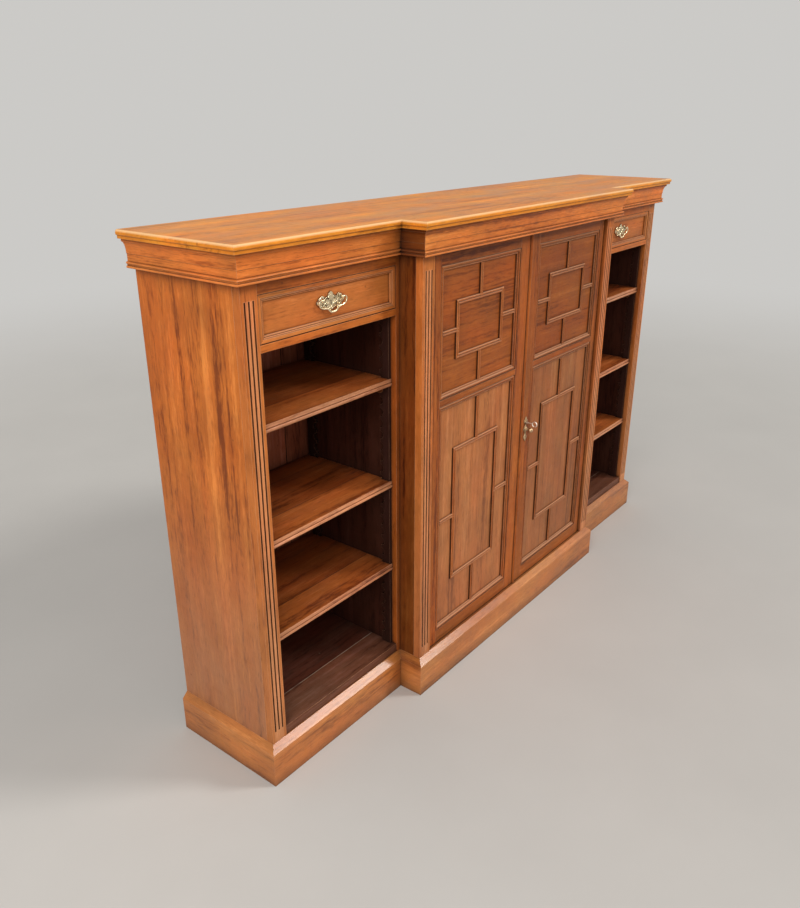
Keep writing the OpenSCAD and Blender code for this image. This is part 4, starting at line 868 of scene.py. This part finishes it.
def pierced_plate(u, low, high, rows, relief, holes, slots=()):
    """A cast plate: an outline between two curves over u, raised by a relief and pierced by holes.

    Points lie at v = low + s (high - low). The front is raised by relief(u, v, distance from the
    edge), the back is flat, and walls join the two at the outline and round each hole. Points near
    a hole's rim are moved on to its circle. Returns u, v and height of all points, and the quads.
    """
    s = np.linspace(0.0, 1.0, rows)[None, :]
    v = low[:, None] * (1.0 - s) + high[:, None] * s
    u = u[:, None] + 0.0 * v
    cell = max(u[1, 0] - u[0, 0], float(np.max(high - low)) / rows)
    for hole_u, hole_v, hole_r in holes:
        du, dv = u - hole_u, v - hole_v
        apart = np.hypot(du, dv) + 1e-9
        rim = np.abs(apart - hole_r) < 0.6 * cell
        u = np.where(rim, hole_u + du * hole_r / apart, u)
        v = np.where(rim, hole_v + dv * hole_r / apart, v)
    mid_u, mid_v = ((p[:-1, :-1] + p[1:, :-1] + p[1:, 1:] + p[:-1, 1:]) / 4 for p in (u, v))
    solid = np.ones(mid_u.shape, bool)
    for hole_u, hole_v, hole_r in holes:
        solid &= np.hypot(mid_u - hole_u, mid_v - hole_v) > hole_r
    for u0, u1, v0, v1 in slots:
        solid &= ~((mid_u > u0) & (mid_u < u1) & (mid_v > v0) & (mid_v < v1))
    to_edge = np.minimum.reduce([v - low[:, None], high[:, None] - v,
                                 0.6 * (u - u[0, 0]), 0.6 * (u[-1, 0] - u)])
    front_points = np.stack([u, v, relief(u, v, to_edge)], axis=-1).reshape(-1, 3)
    count = len(front_points)
    i, j = np.meshgrid(np.arange(u.shape[0] - 1), np.arange(rows - 1), indexing="ij")
    corners = [i * rows + j, (i + 1) * rows + j, (i + 1) * rows + j + 1, i * rows + j + 1]
    front = np.stack([corner[solid] for corner in corners], axis=-1)
    around = np.pad(solid, 1)
    beside = [around[1:-1, :-2], around[2:, 1:-1], around[1:-1, 2:], around[:-2, 1:-1]]
    walls = []
    for k in range(4):
        bare = solid & ~beside[k]
        a, b = corners[k][bare], corners[(k + 1) % 4][bare]
        walls.append(np.stack([b, a, a + count, b + count], axis=-1))
    quads = np.concatenate([front, front[:, ::-1] + count, *walls])
    return np.concatenate([front_points, front_points * (1, 1, 0)]), quads


# --------------------------------------------------------------------------- cast ornament

def hump(x, centre, spread, height):
    """A rounded hump, height e^-((x - centre) / spread)^2."""
    return height * np.exp(-((x - centre) / spread) ** 2)


def rise(x, width):
    """A ramp: 0 up to 0, 1 from the width on."""
    return np.clip(x / width, 0.0, 1.0)


def scroll(u, v, centre_u, centre_v, radius, turns, start):
    """A raised spiral: a ridge where distance / pitch - turn of the angle is whole, in a disc."""
    du, dv = u - centre_u, v - centre_v
    apart = np.hypot(du, dv)
    phase = turns * apart / radius - np.arctan2(dv, du) / (2 * np.pi) - start
    ridge = (0.5 + 0.5 * np.cos(2 * np.pi * phase)) ** 1.2
    eye_r = 0.28 * radius
    eye = rise(eye_r - apart, eye_r) ** 0.5
    return rise(radius - apart, 0.25 * radius) * np.maximum(ridge, eye)


def handle_ornament(settings):
    """Height of the handle plate: a ribbed, domed shell over a leaf, sprays, scrolls and a lip.

    Lengths are in millimetres from the plate's middle. Ribs are cosines of the angle about a
    point, each fan is kept to its own stretch, and the highest form shows.
    """
    # Middle across and up, radius, turns, and the turn where the ridge starts
    scrolls = ((13.5, 4.5, 5.2, 1.6, 0.1), (12.0, -6.5, 5.4, 1.7, 0.55),
               (22.5, -1.0, 6.2, 1.9, 0.3), (28.0, -9.0, 3.8, 1.3, 0.7), (27.5, 9.0, 3.6, 1.3, 0.2))
    shell_foot, leaf_foot, spray_x, spray_up = 9.0, 20.0, 11.0, 1.0

    def relief(u, v, to_edge):
        across, up, edge = u / MM, v / MM, to_edge / MM
        a = np.abs(across)
        shell_r, shell_turn = np.hypot(across, up + shell_foot), np.arctan2(across, up + shell_foot)
        ribs = np.cos(30.0 * shell_turn)
        shell = rise(21.5 - shell_r, 3.0) * rise(0.62 - np.abs(shell_turn), 0.10)
        shell *= 0.50 + 0.50 * ribs * rise(shell_r, 9.0)
        dome = np.sqrt(np.clip(1.0 - (np.hypot(across, up - 6.0) / 7.5) ** 2, 0.0, 1.0))
        leaf_r, leaf_turn = np.hypot(across, up + leaf_foot), np.arctan2(across, up + leaf_foot)
        leaf = (0.6 + 0.4 * np.cos(7.0 * leaf_turn)) * rise(9.5 - leaf_r, 2.5)
        spray_r = np.hypot(a - spray_x, up - spray_up)
        spray_turn = np.arctan2(up - spray_up, a - spray_x)
        spray = (0.5 + 0.5 * np.cos(9.0 * spray_turn)) * np.minimum(rise(spray_r - 5.0, 4.0), 0.8)
        form = np.maximum.reduce([shell, leaf, dome * (0.88 + 0.27 * ribs), 0.75 * spray,
                                  *(scroll(a, up, *values) for values in scrolls),
                                  hump(edge, 0.9, 0.6, 0.65)])
        shown = np.clip(form + 0.25 * rise(edge, 6.0), 0.0, 1.15) / 1.15
        return settings.plate_t + settings.plate_relief * rise(edge, 0.9) ** 0.5 * shown

    return relief


def plate_outline(settings):
    """Lower and upper edge of the handle plate over its width, tapered to the two ends."""
    t = np.linspace(-1.0, 1.0, 241)
    a = np.abs(t)
    taper = np.sqrt(np.clip(1.0 - a ** 3, 0.0, 1.0)) * (1.0 + 0.035 * np.cos(46.0 * t))
    high = taper * (0.40 + hump(t, 0.0, 0.20, 0.60) + hump(a, 0.62, 0.16, 0.34))
    low = -taper * (0.50 + hump(t, 0.0, 0.26, 0.46) + hump(a, 0.55, 0.22, 0.34))
    half = settings.plate_h / 2
    return t * settings.plate_w / 2, np.maximum(low, -0.98) * half, np.minimum(high, 0.97) * half


def post_profile(s):
    """Turned post: a beaded rose on the plate, a neck with a ring, and the ball for the pin."""
    neck = 2.3
    foot = [(0.0, 0.0), (5.6, 0.0), (5.6, 1.8), (5.2, 2.5), (4.4, 2.6), (4.1, 3.0), (3.3, 3.3),
            (neck, 3.6)]
    start = math.degrees(math.asin(neck * MM / s.post_ball_r))
    return np.concatenate([MM * np.array(foot),
                           ball_profile(s.field_depth, s.post_ball_r, start, 180.0, 16)])


def knob_profile(s):
    """Turned knob: a flanged foot, a waisted neck with a ring, and a ball with a button."""
    neck = 3.4
    foot = [(0.0, 0.2), (6.2, 0.2), (6.2, 2.2), (5.6, 3.0), (4.4, 3.3), (3.6, 4.2), (3.0, 5.4),
            (3.0, 7.4), (4.2, 7.9), (4.6, 8.6), (4.2, 9.3), (neck, 9.8)]
    button = [(2.4, -0.1), (1.6, 0.0), (0.0, 0.0)]
    start = math.degrees(math.asin(neck * MM / s.knob_r))
    return np.concatenate([MM * np.array(foot),
                           ball_profile(s.knob_out, s.knob_r, start, 162.0, 18),
                           MM * np.array(button) + (0.0, s.knob_out + s.knob_r)])


# --------------------------------------------------------------------------- operators

class BOOKCASE_OT_outside_timber(bpy.types.Operator):
    """Finish the top, mouldings, plinth, ends, pilasters and drawer fronts"""

    bl_idname = "bookcase.outside_timber"
    bl_label = "Outside timber"

    def execute(self, context):
        s = context.scene.bookcase_timber
        mitred = (runs_back, "xzy", "yzx")
        dress(timber("top_timber", "top", "xyz", 3.0, s, board=0.16, first=-0.2, waviness=0.05,
                     roughness=0.36, gloss=0.08, coat=0.05, tones=0.03, contrast=0.65, nose=0.75),
              ["top_board"])
        # The centre's cornice returns take the dark return colour, painted shade; the heavier, wider
        # grime is partly painted shade in the cornice's corners
        dress(timber("moulding_timber", "cornice", mitred, 5.0, s,
                     areas=[(centre_return, "recess")], waviness=0.02, contrast=0.8, ring=1.5,
                     tones=0.05, grime=1.25, reach=2.2),
              ["cornice_mouldings", "frieze_boards", "astragal_mouldings"])
        dress(timber("plinth_timber", "plinth", mitred, 8.0, s, waviness=0.04, contrast=0.8,
                     gloss=0.25, coat=0.30, tones=0.05), ["plinth_boards"])
        dress(timber("end_timber", "show", "zyx", 11.0, s, board=0.16, first=-0.1,
                     waviness=0.045, ripple=0.003, tones=0.04, bloom=0.62),
              both("end_panel"))
        # The lands between the flutes are paler: a painted highlight
        dress(timber("pilaster_timber", "pilaster", "zxy", 14.0, s,
                     areas=[(between_flutes(s.flute_top), "land")],
                     waviness=0.02, contrast=0.7, tones=0.05, bloom=0.25),
              ["end_pilasters", "centre_pilasters"])
        # The wings' inner stiles take the darker door colour: painted shade beside the centre
        dress(timber("wing_frame_timber", "show", (beside_inner_stile, "zxy", "xzy"), 17.0, s,
                     areas=[(inner_stile, "door")], waviness=0.02, contrast=0.8, tones=0.05),
              both("face_frame"))
        dress(timber("drawer_front_timber", "drawer", "xzy", 19.0, s, waviness=0.04, contrast=0.7,
                     tones=0.05), both("drawer_front"))
        dress(timber("drawer_moulding_timber", "drawer", (drawer_frame, "xzy", "zxy"), 21.0, s,
                     waviness=0.01, contrast=0.6, painted_side_shade=0.5, ledge_highlight=0.65, wear=1.4, tones=0.05),
              both("drawer_moulding"))
        return {"FINISHED"}


class BOOKCASE_OT_door_timber(bpy.types.Operator):
    """Finish the two doors: stiles, rails, panels, mouldings, frets and the meeting bead"""

    bl_idname = "bookcase.door_timber"
    bl_label = "Door timber"

    def execute(self, context):
        s = context.scene.bookcase_timber
        dress(timber("stile_timber", "door", "zxy", 23.0, s, board=0.05, waviness=0.02, grime=1.1),
              [*both("door_stiles"), "meeting_bead"])
        dress(timber("rail_timber", "door", "xzy", 29.0, s, waviness=0.02, tone=0.9, grime=1.1),
              [*both("door_rails"), "centre_top_rail"])
        # The right door is painted at 0.81 of the left's brightness: painted shade, darker away from
        # the lamps
        for side, seed, tone in (("left", 31.0, 1.0), ("right", 37.0, 0.81)):
            dress(timber(side + "_panel_timber", "door", (above_lock_rail, "zxy", "xzy"), seed, s,
                         areas=[(below_lock_rail, "panel")], board=0.17, first=-0.4,
                         waviness=0.035, ripple=0.006, tone=tone, tones=0.06, contrast=0.8,
                         bloom=0.15), [side + "_door_panels"])
            for kind, node, mask, painted_side_shade, step in (
                    ("frame", "door_mouldings", door_frame, 0.85, 1.0),
                    ("fret", "door_frets", lattice, 0.92, 2.0)):
                dress(timber(f"{side}_{kind}_timber", "door", (mask(side), "xzy", "zxy"),
                             seed + step, s, waviness=0.01, wear=1.6, painted_side_shade=painted_side_shade,
                             ledge_highlight=0.8, contrast=0.7, tone=tone), [f"{side}_{node}"])
        return {"FINISHED"}


class BOOKCASE_OT_inside_timber(bpy.types.Operator):
    """Finish the shelves, sides, bottoms, ladder strips, back boards and drawer boxes"""

    bl_idname = "bookcase.inside_timber"
    bl_label = "Inside timber"

    def execute(self, context):
        s = context.scene.bookcase_timber
        shelf_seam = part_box("left_lower_shelf")[0].y + s.front_board_w
        bottom_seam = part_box("wing_bottoms")[0].y + s.front_board_w
        levels = ("lower", "middle", "upper")
        shelves = [f"{side}_{level}_shelf" for side in SIDES for level in levels]
        for number, name in enumerate(shelves):
            # Forward faces take the rim colour: the shelves' edges with a painted highlight
            dress(timber(name + "_timber", "rear", "xyz", 43.0 + number, s,
                         areas=[(in_front_of(shelf_seam), "shelf"),
                                (seam_at(shelf_seam), "inside")],
                         board=0.13, first=-0.1, waviness=0.04, wear=1.6, edge="rim", dust=0.4),
                  [name])
        dress(timber("cupboard_shelf_timber", "rear", "xyz", 53.0, s, board=0.15, waviness=0.04,
                     dust=0.25), ["cupboard_shelves"])
        dress(timber("wing_bottom_timber", "inside", "xyz", 57.0, s, tone=1.8,
                     areas=[(in_front_of(bottom_seam), "floor"), (seam_at(bottom_seam), "dust")],
                     board=0.14, first=-0.1, waviness=0.05, roughness=0.5, dust=0.6),
              ["wing_bottoms"])
        dress(timber("hidden_board_timber", "inside", "xyz", 58.0, s, tone=1.6, roughness=0.55,
                     dust=0.5), ["centre_bottom", "dust_boards"])
        dress(timber("side_timber", "inside", "zyx", 59.0, s, board=0.15, first=-0.1,
                     roughness=0.5), ["wing_outer_sides", "wing_inner_sides"])
        # The returns in front of the wings take the dark return colour: painted shade
        dress(timber("return_timber", "inside", "zyx", 60.0, s,
                     areas=[(in_front_of(WING_FRONT_Y + 1 * MM), "recess")],
                     board=0.15, first=-0.1), ["centre_sides"])
        dress(timber("batten_timber", "rear", "yxz", 61.0, s, tone=0.6, roughness=0.5),
              ["shelf_battens"])
        dress(timber("ladder_timber", "inside", "zxy", 62.0, s, tone=0.5, roughness=0.6, wear=0.4),
              ["ladder_strips"])
        dress(timber("hidden_rail_timber", "inside", "xzy", 63.0, s, tone=1.6, roughness=0.5),
              ["centre_top_panel", "door_stop", "drawer_bearers", "plinth_frame"])
        dress(timber("back_timber", "back", "zxy", 67.0, s, board=s.back_board_w,
                     first=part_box("back_boards")[0].x, roughness=0.55, nails=True),
              ["back_boards"])
        dress(timber("drawer_box_timber", "pine", "yzx", 71.0, s, roughness=0.5, coat=0.0,
                     waviness=0.02, contrast=0.6), both("drawer_box"))
        return {"FINISHED"}


class BOOKCASE_OT_metal_finishes(bpy.types.Operator):
    """Finish the key, the bolt, the lock case and the pivots"""

    bl_idname = "bookcase.metal_finishes"
    bl_label = "Metal finishes"

    def execute(self, context):
        s = context.scene.bookcase_brass
        for kind, nodes in (
                ("aged_brass", [*both("handle_plate"), *both("bail")]),
                ("dull_brass", ["escutcheon_plate", "lock_bolt", "carcase_pivots",
                                *both("door_pivots")]),
                ("key_steel", ["key"]), ("lock_steel", ["door_lock"])):
            dress(metal(kind, s), nodes)
        return {"FINISHED"}


class BOOKCASE_OT_handle_plates(bpy.types.Operator):
    """Model the cast, pierced back plates of the handles with their turned posts"""

    bl_idname = "bookcase.handle_plates"
    bl_label = "Handle plates"

    def execute(self, context):
        s = context.scene.bookcase_brass
        # Piercings: across as a share of half the width, up as one of the height, radius in mm
        pairs = ((0.215, 0.115, 2.3), (0.36, -0.20, 2.2), (0.45, 0.19, 1.9), (0.60, -0.12, 1.9),
                 (0.56, 0.14, 1.3))
        holes = [(sign * across * s.plate_w / 2, up * s.plate_h, radius * MM)
                 for across, up, radius in pairs for sign in (-1, 1)]
        plate, quads = pierced_plate(*plate_outline(s), 121, handle_ornament(s), holes)
        for side in SIDES:
            pivot = PIVOTS[side + "_bail"]
            field_y = pivot.y + s.field_depth
            points = np.stack([pivot.x + plate[:, 0], field_y - plate[:, 2],
                               pivot.z - s.plate_drop + plate[:, 1]], axis=1)
            posts = [turned(post_profile(s), (pivot.x + sign * s.post_x, field_y, pivot.z))
                     for sign in (-1, 1)]
            closed_piece(context, side + "_cast_plate", joined((points, quads), *posts),
                         metal("aged_brass", s), side + "_drawer",
                         [side + "_handle_plate"])
        return {"FINISHED"}


class BOOKCASE_OT_bails(bpy.types.Operator):
    """Model the swan-necked bails with their pins and the beads at their middle"""

    bl_idname = "bookcase.bails"
    bl_label = "Bails"

    def execute(self, context):
        s = context.scene.bookcase_brass

        def hung(across, share_of_drop):
            """A point of the bail, so many millimetres across and so far down."""
            return across * MM, 0.0, -share_of_drop * s.bail_drop

        pin_inner, pin_end = s.post_x - s.post_ball_r - 0.5 * MM, s.post_x + 6.0 * MM
        shoulder = pin_end + 6.5 * MM
        pin = np.linspace((pin_inner, 0, 0), (pin_end, 0, 0), 12)
        neck = curve([(pin_end, 0, 0), (shoulder, 0, 0), (shoulder, 0, -0.38 * s.bail_drop),
                      hung(36.0, 0.52)], 40)
        sweep = curve([hung(36.0, 0.52), hung(26.0, 0.72), hung(19.0, 0.56), hung(12.5, 0.82)], 40)
        belly = curve([hung(12.5, 0.82), hung(9.0, 0.96), hung(6.0, 1.0), hung(0.0, 1.0)], 24)
        half = np.concatenate([pin[:-1], neck[:-1], sweep[:-1], belly])
        path = np.concatenate([half, (half * (-1, 1, 1))[-2::-1]])
        a = np.abs(path[:, 0])
        hanging = path[:, 2] < -0.2 * MM
        swell = np.clip(1.0 - a / (33.0 * MM), 0.0, 1.0)
        radius = np.where(hanging, s.bail_r + s.bail_swell * np.sin(np.pi / 2 * swell), s.pin_r)
        radius = radius + hanging * hump(a, 5.5 * MM, 0.7 * MM, 0.5 * MM)
        radius[[0, -1]] = 0.0
        radius[[1, -2]] = 0.9 * s.pin_r
        rod, quads = swept_rod(path, radius)
        for side in SIDES:
            shape = (rod + np.array(PIVOTS[side + "_bail"]), quads)
            closed_piece(context, side + "_cast_bail", shape, metal("aged_brass", s),
                         side + "_bail", [side + "_bail"])
        return {"FINISHED"}


class BOOKCASE_OT_escutcheon(bpy.types.Operator):
    """Model the pierced escutcheon with its pins, and the turned knob that stands on it"""

    bl_idname = "bookcase.escutcheon"
    bl_label = "Escutcheon and knob"

    def execute(self, context):
        s = context.scene.bookcase_brass
        half_h = s.escutcheon_h / 2
        middle_z = KEYHOLE.z - s.knob_drop
        t = np.linspace(-1.0, 1.0, 201)
        half = (s.escutcheon_w / 2 * (0.62 + 0.38 * np.cos(3 * np.pi * t))
                * np.clip(1 - t * t, 0, 1) ** 0.4)

        def relief(u, v, to_edge):
            """Veined leaves that stay clear of the keyhole, inside a raised lip, in mm."""
            along, across, edge = u / MM, np.abs(v) / MM, to_edge / MM
            leaves = 0.5 + 0.5 * np.cos(1.15 * np.abs(along) - 0.9 * across)
            clear = rise(np.hypot(along - s.knob_drop / MM + 2.0, across) - 5.0, 3.0)
            form = np.maximum(leaves * clear * rise(edge, 2.0), hump(edge, 0.8, 0.5, 0.9))
            return 1.0 * MM + 1.0 * MM * form * rise(edge, 0.7) ** 0.5

        hole_u = s.knob_drop
        # Piercings on the axis: distance up from the plate's middle and radius, in mm
        piercings = ((-23.0, 1.7), (-27.5, 1.2), (-11.2, 1.3), (29.0, 1.2))
        holes = [(hole_u, 0.0, 2.5 * MM)] + [(up * MM, 0.0, r * MM) for up, r in piercings]
        slot = (hole_u - 7.0 * MM, hole_u, -1.5 * MM, 1.5 * MM)
        plate, quads = pierced_plate(t * half_h, -half, half, 61, relief, holes, [slot])
        points = np.stack([KEYHOLE.x + plate[:, 1], DOOR_FACE_Y - plate[:, 2],
                           middle_z + plate[:, 0]], axis=1)
        pin = MM * np.array([(0.0, 0.5), (1.25, 0.5), (1.2, 1.9), (0.8, 2.4), (0.0, 2.6)])
        pins = [turned(pin, (KEYHOLE.x, DOOR_FACE_Y, middle_z + sign * (half_h - 3.4 * MM)), 20)
                for sign in (-1, 1)]
        knob = turned(knob_profile(s), (KEYHOLE.x, DOOR_FACE_Y, middle_z), 48)
        closed_piece(context, "cast_escutcheon", joined((points, quads), *pins, knob),
                     metal("dull_brass", s), "right_door", ["escutcheon_plate"])
        return {"FINISHED"}


class BOOKCASE_OT_lock_screws(bpy.types.Operator):
    """Model the slotted screws that hold the lock in the right door"""

    bl_idname = "bookcase.lock_screws"
    bl_label = "Lock screws"

    def execute(self, context):
        s = context.scene.bookcase_brass
        low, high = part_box("door_lock")
        inset, dome_h, slot_depth, sunk, around = 6.0 * MM, 0.75 * MM, 0.35 * MM, 0.3 * MM, 36
        radius = np.linspace(0.0, s.screw_r, 14)[:, None]
        angle = np.linspace(0.0, 2.0 * np.pi, around, endpoint=False)[None, :]
        u, v = radius * np.cos(angle), radius * np.sin(angle)
        dome = dome_h * np.sqrt(np.clip(1.0 - 0.75 * (radius / s.screw_r) ** 2, 0, 1)) + 0.0 * u
        shapes = []
        corners = [(x, z) for z in (low.z + inset, high.z - inset)
                   for x in (low.x + inset, high.x - inset)]
        for (x, z), slot_turn in zip(corners, (0.4, 1.2, 2.1, 2.8)):
            from_slot = np.abs(u * math.cos(slot_turn) + v * math.sin(slot_turn))
            raised = np.where(from_slot < 0.14 * s.screw_r, dome - slot_depth, dome)
            # The domed top, then a rim and a pole below it that close the head
            across = np.concatenate([u, u[-1:], 0.0 * u[:1]])
            up = np.concatenate([v, v[-1:], 0.0 * v[:1]])
            out = np.concatenate([raised, 0.0 * u[:2] - sunk])
            sheet = np.stack([x + across, high.y + out, z + up], axis=-1)
            shapes.append((sheet.reshape(-1, 3), grid_faces(len(sheet), around, around=True)))
        closed_piece(context, "lock_screws", joined(*shapes), metal("lock_steel", s),
                     "right_door")
        return {"FINISHED"}


def light_world(scene, s):
    """Even light on the object, and the plain backdrop for the camera and in reflections."""
    world = bpy.data.worlds.new("studio_world")
    world.use_nodes = True
    world.node_tree.nodes.clear()
    w = Wiring(world.node_tree)
    path = w.outputs("LightPath")
    seen = w.most(path["Is Camera Ray"],
                  w.most(path["Is Glossy Ray"], path["Is Transmission Ray"]))
    even = w.put("Background", {"Color": LAMP_COLOUR, "Strength": s.world_light})
    shown = w.put("Background", {"Color": s.backdrop, "Strength": 1.0})
    w.node("OutputWorld", {"Surface": w.put("MixShader", {0: seen, 1: even, 2: shown})})
    scene.world = world


def lay_floor(scene, s, half_w=20.0, steps=21, fade_from=2.2, fade_to=6.0):
    """A wide floor of mottled paint that fades into the backdrop with distance."""
    mesh = bpy.data.meshes.new("studio_floor")
    lines = np.linspace(-half_w, half_w, steps)
    xs, ys = np.meshgrid(lines, lines, indexing="ij")
    points = np.stack([xs, ys, np.zeros_like(xs)], axis=-1).reshape(-1, 3)
    mesh.from_pydata(points.tolist(), [], grid_faces(steps, steps).tolist())
    floor = bpy.data.objects.new("studio_floor", mesh)
    scene.collection.objects.link(floor)
    material, w, shader = new_finish("floor_paint")
    place = w.put("TexCoord", outlet="Object")
    mottle = w.noise(place, 6.0, 0.6, scale=2.2)
    w.fill(shader, {
        "Base Color": w.blend(w.spread(mottle, 0.3, 0.7), [0.95 * c for c in s.floor], s.floor),
        "Roughness": w.spread(mottle, 0.3, 0.7, 0.6, 0.75)})
    distance = w.put("VectorMath", {0: place}, outlet=1, operation="LENGTH")
    path = w.outputs("LightPath")
    fade = (w.spread(distance, fade_from, fade_to, smooth=True)
            * w.most(path["Is Camera Ray"], path["Is Glossy Ray"]))
    glow = w.put("Emission", {"Color": s.backdrop, "Strength": 1.0})
    mixed = w.put("MixShader", {0: fade, 1: Value(w, shader.outputs[0]), 2: glow})
    w.fill(w.tree.nodes["Material Output"], {"Surface": mixed})
    mesh.materials.append(material)


def hang_lamps(scene, s, distance=4.3):
    """Two broad suns and one soft area lamp, all aimed at the middle of the floor."""
    # Name, kind, direction from the object, a sun's spread in degrees or an area's size, strength
    for name, kind, direction, spread, strength in (
            ("key_lamp", "SUN", (0.573, -0.623, 0.532), 14.0, s.key_light),
            ("fill_lamp", "SUN", (-0.78, -0.34, 0.53), 70.0, s.fill_light),
            ("near_lamp", "AREA", (-0.72, -0.32, 0.62), 1.6, s.near_light)):
        data = bpy.data.lights.new(name, kind)
        if kind == "SUN":
            data.angle = math.radians(spread)
        else:
            data.size = spread
        data.energy = strength
        data.color = LAMP_COLOUR
        lamp = bpy.data.objects.new(name, data)
        lamp.location = distance * Vector(direction)
        lamp.rotation_euler = (-Vector(direction)).to_track_quat("-Z", "Y").to_euler()
        scene.collection.objects.link(lamp)


def place_camera(scene, s):
    """The camera at the photograph's angle."""
    data = bpy.data.cameras.new("photo_camera")
    data.lens = s.lens
    data.sensor_width = 36.0
    camera = bpy.data.objects.new("photo_camera", data)
    camera.location = (s.camera_x, s.camera_y, s.camera_z)
    camera.rotation_mode = "XYZ"
    camera.rotation_euler = (math.pi / 2 - s.camera_tilt, 0.0, -s.camera_turn)
    camera.rotation_euler.rotate_axis("Z", -s.camera_roll)
    scene.collection.objects.link(camera)
    scene.camera = camera


class BOOKCASE_OT_studio(bpy.types.Operator):
    """Build the pale floor, the lamps, the world and the camera"""

    bl_idname = "bookcase.studio"
    bl_label = "Studio"

    def execute(self, context):
        context.scene.view_settings.view_transform = "Standard"
        for build in (light_world, lay_floor, hang_lamps, place_camera):
            build(context.scene, context.scene.bookcase_studio)
        return {"FINISHED"}


# --------------------------------------------------------------------------- panel and register

class BOOKCASE_PT_panel(bpy.types.Panel):
    """Lists the bookcase's operators and settings"""

    bl_label = "Bookcase"
    bl_idname = "BOOKCASE_PT_panel"
    bl_space_type = "VIEW_3D"
    bl_region_type = "UI"
    bl_category = "Bookcase"

    def draw(self, context):
        for operator in OPERATORS:
            self.layout.operator(operator.bl_idname)
        for kind in SETTINGS:
            group = getattr(context.scene, kind)
            box = self.layout.box()
            for name in group.__annotations__:
                box.prop(group, name)


SETTINGS = {"bookcase_timber": TimberSettings, "bookcase_brass": BrassSettings,
            "bookcase_studio": StudioSettings}
OPERATORS = (BOOKCASE_OT_outside_timber, BOOKCASE_OT_door_timber, BOOKCASE_OT_inside_timber,
             BOOKCASE_OT_metal_finishes, BOOKCASE_OT_handle_plates, BOOKCASE_OT_bails,
             BOOKCASE_OT_escutcheon, BOOKCASE_OT_lock_screws, BOOKCASE_OT_studio)
CLASSES = (*SETTINGS.values(), *OPERATORS, BOOKCASE_PT_panel)


def register():
    for cls in CLASSES:
        bpy.utils.register_class(cls)
    for name, kind in SETTINGS.items():
        setattr(bpy.types.Scene, name, PointerProperty(type=kind))


def unregister():
    for name in SETTINGS:
        delattr(bpy.types.Scene, name)
    for cls in reversed(CLASSES):
        bpy.utils.unregister_class(cls)


def main():
    """Registers the add-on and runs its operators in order."""
    register()
    for operator in OPERATORS:
        group, name = operator.bl_idname.split(".")
        getattr(getattr(bpy.ops, group), name)()
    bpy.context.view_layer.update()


if __name__ == "__main__":
    main()
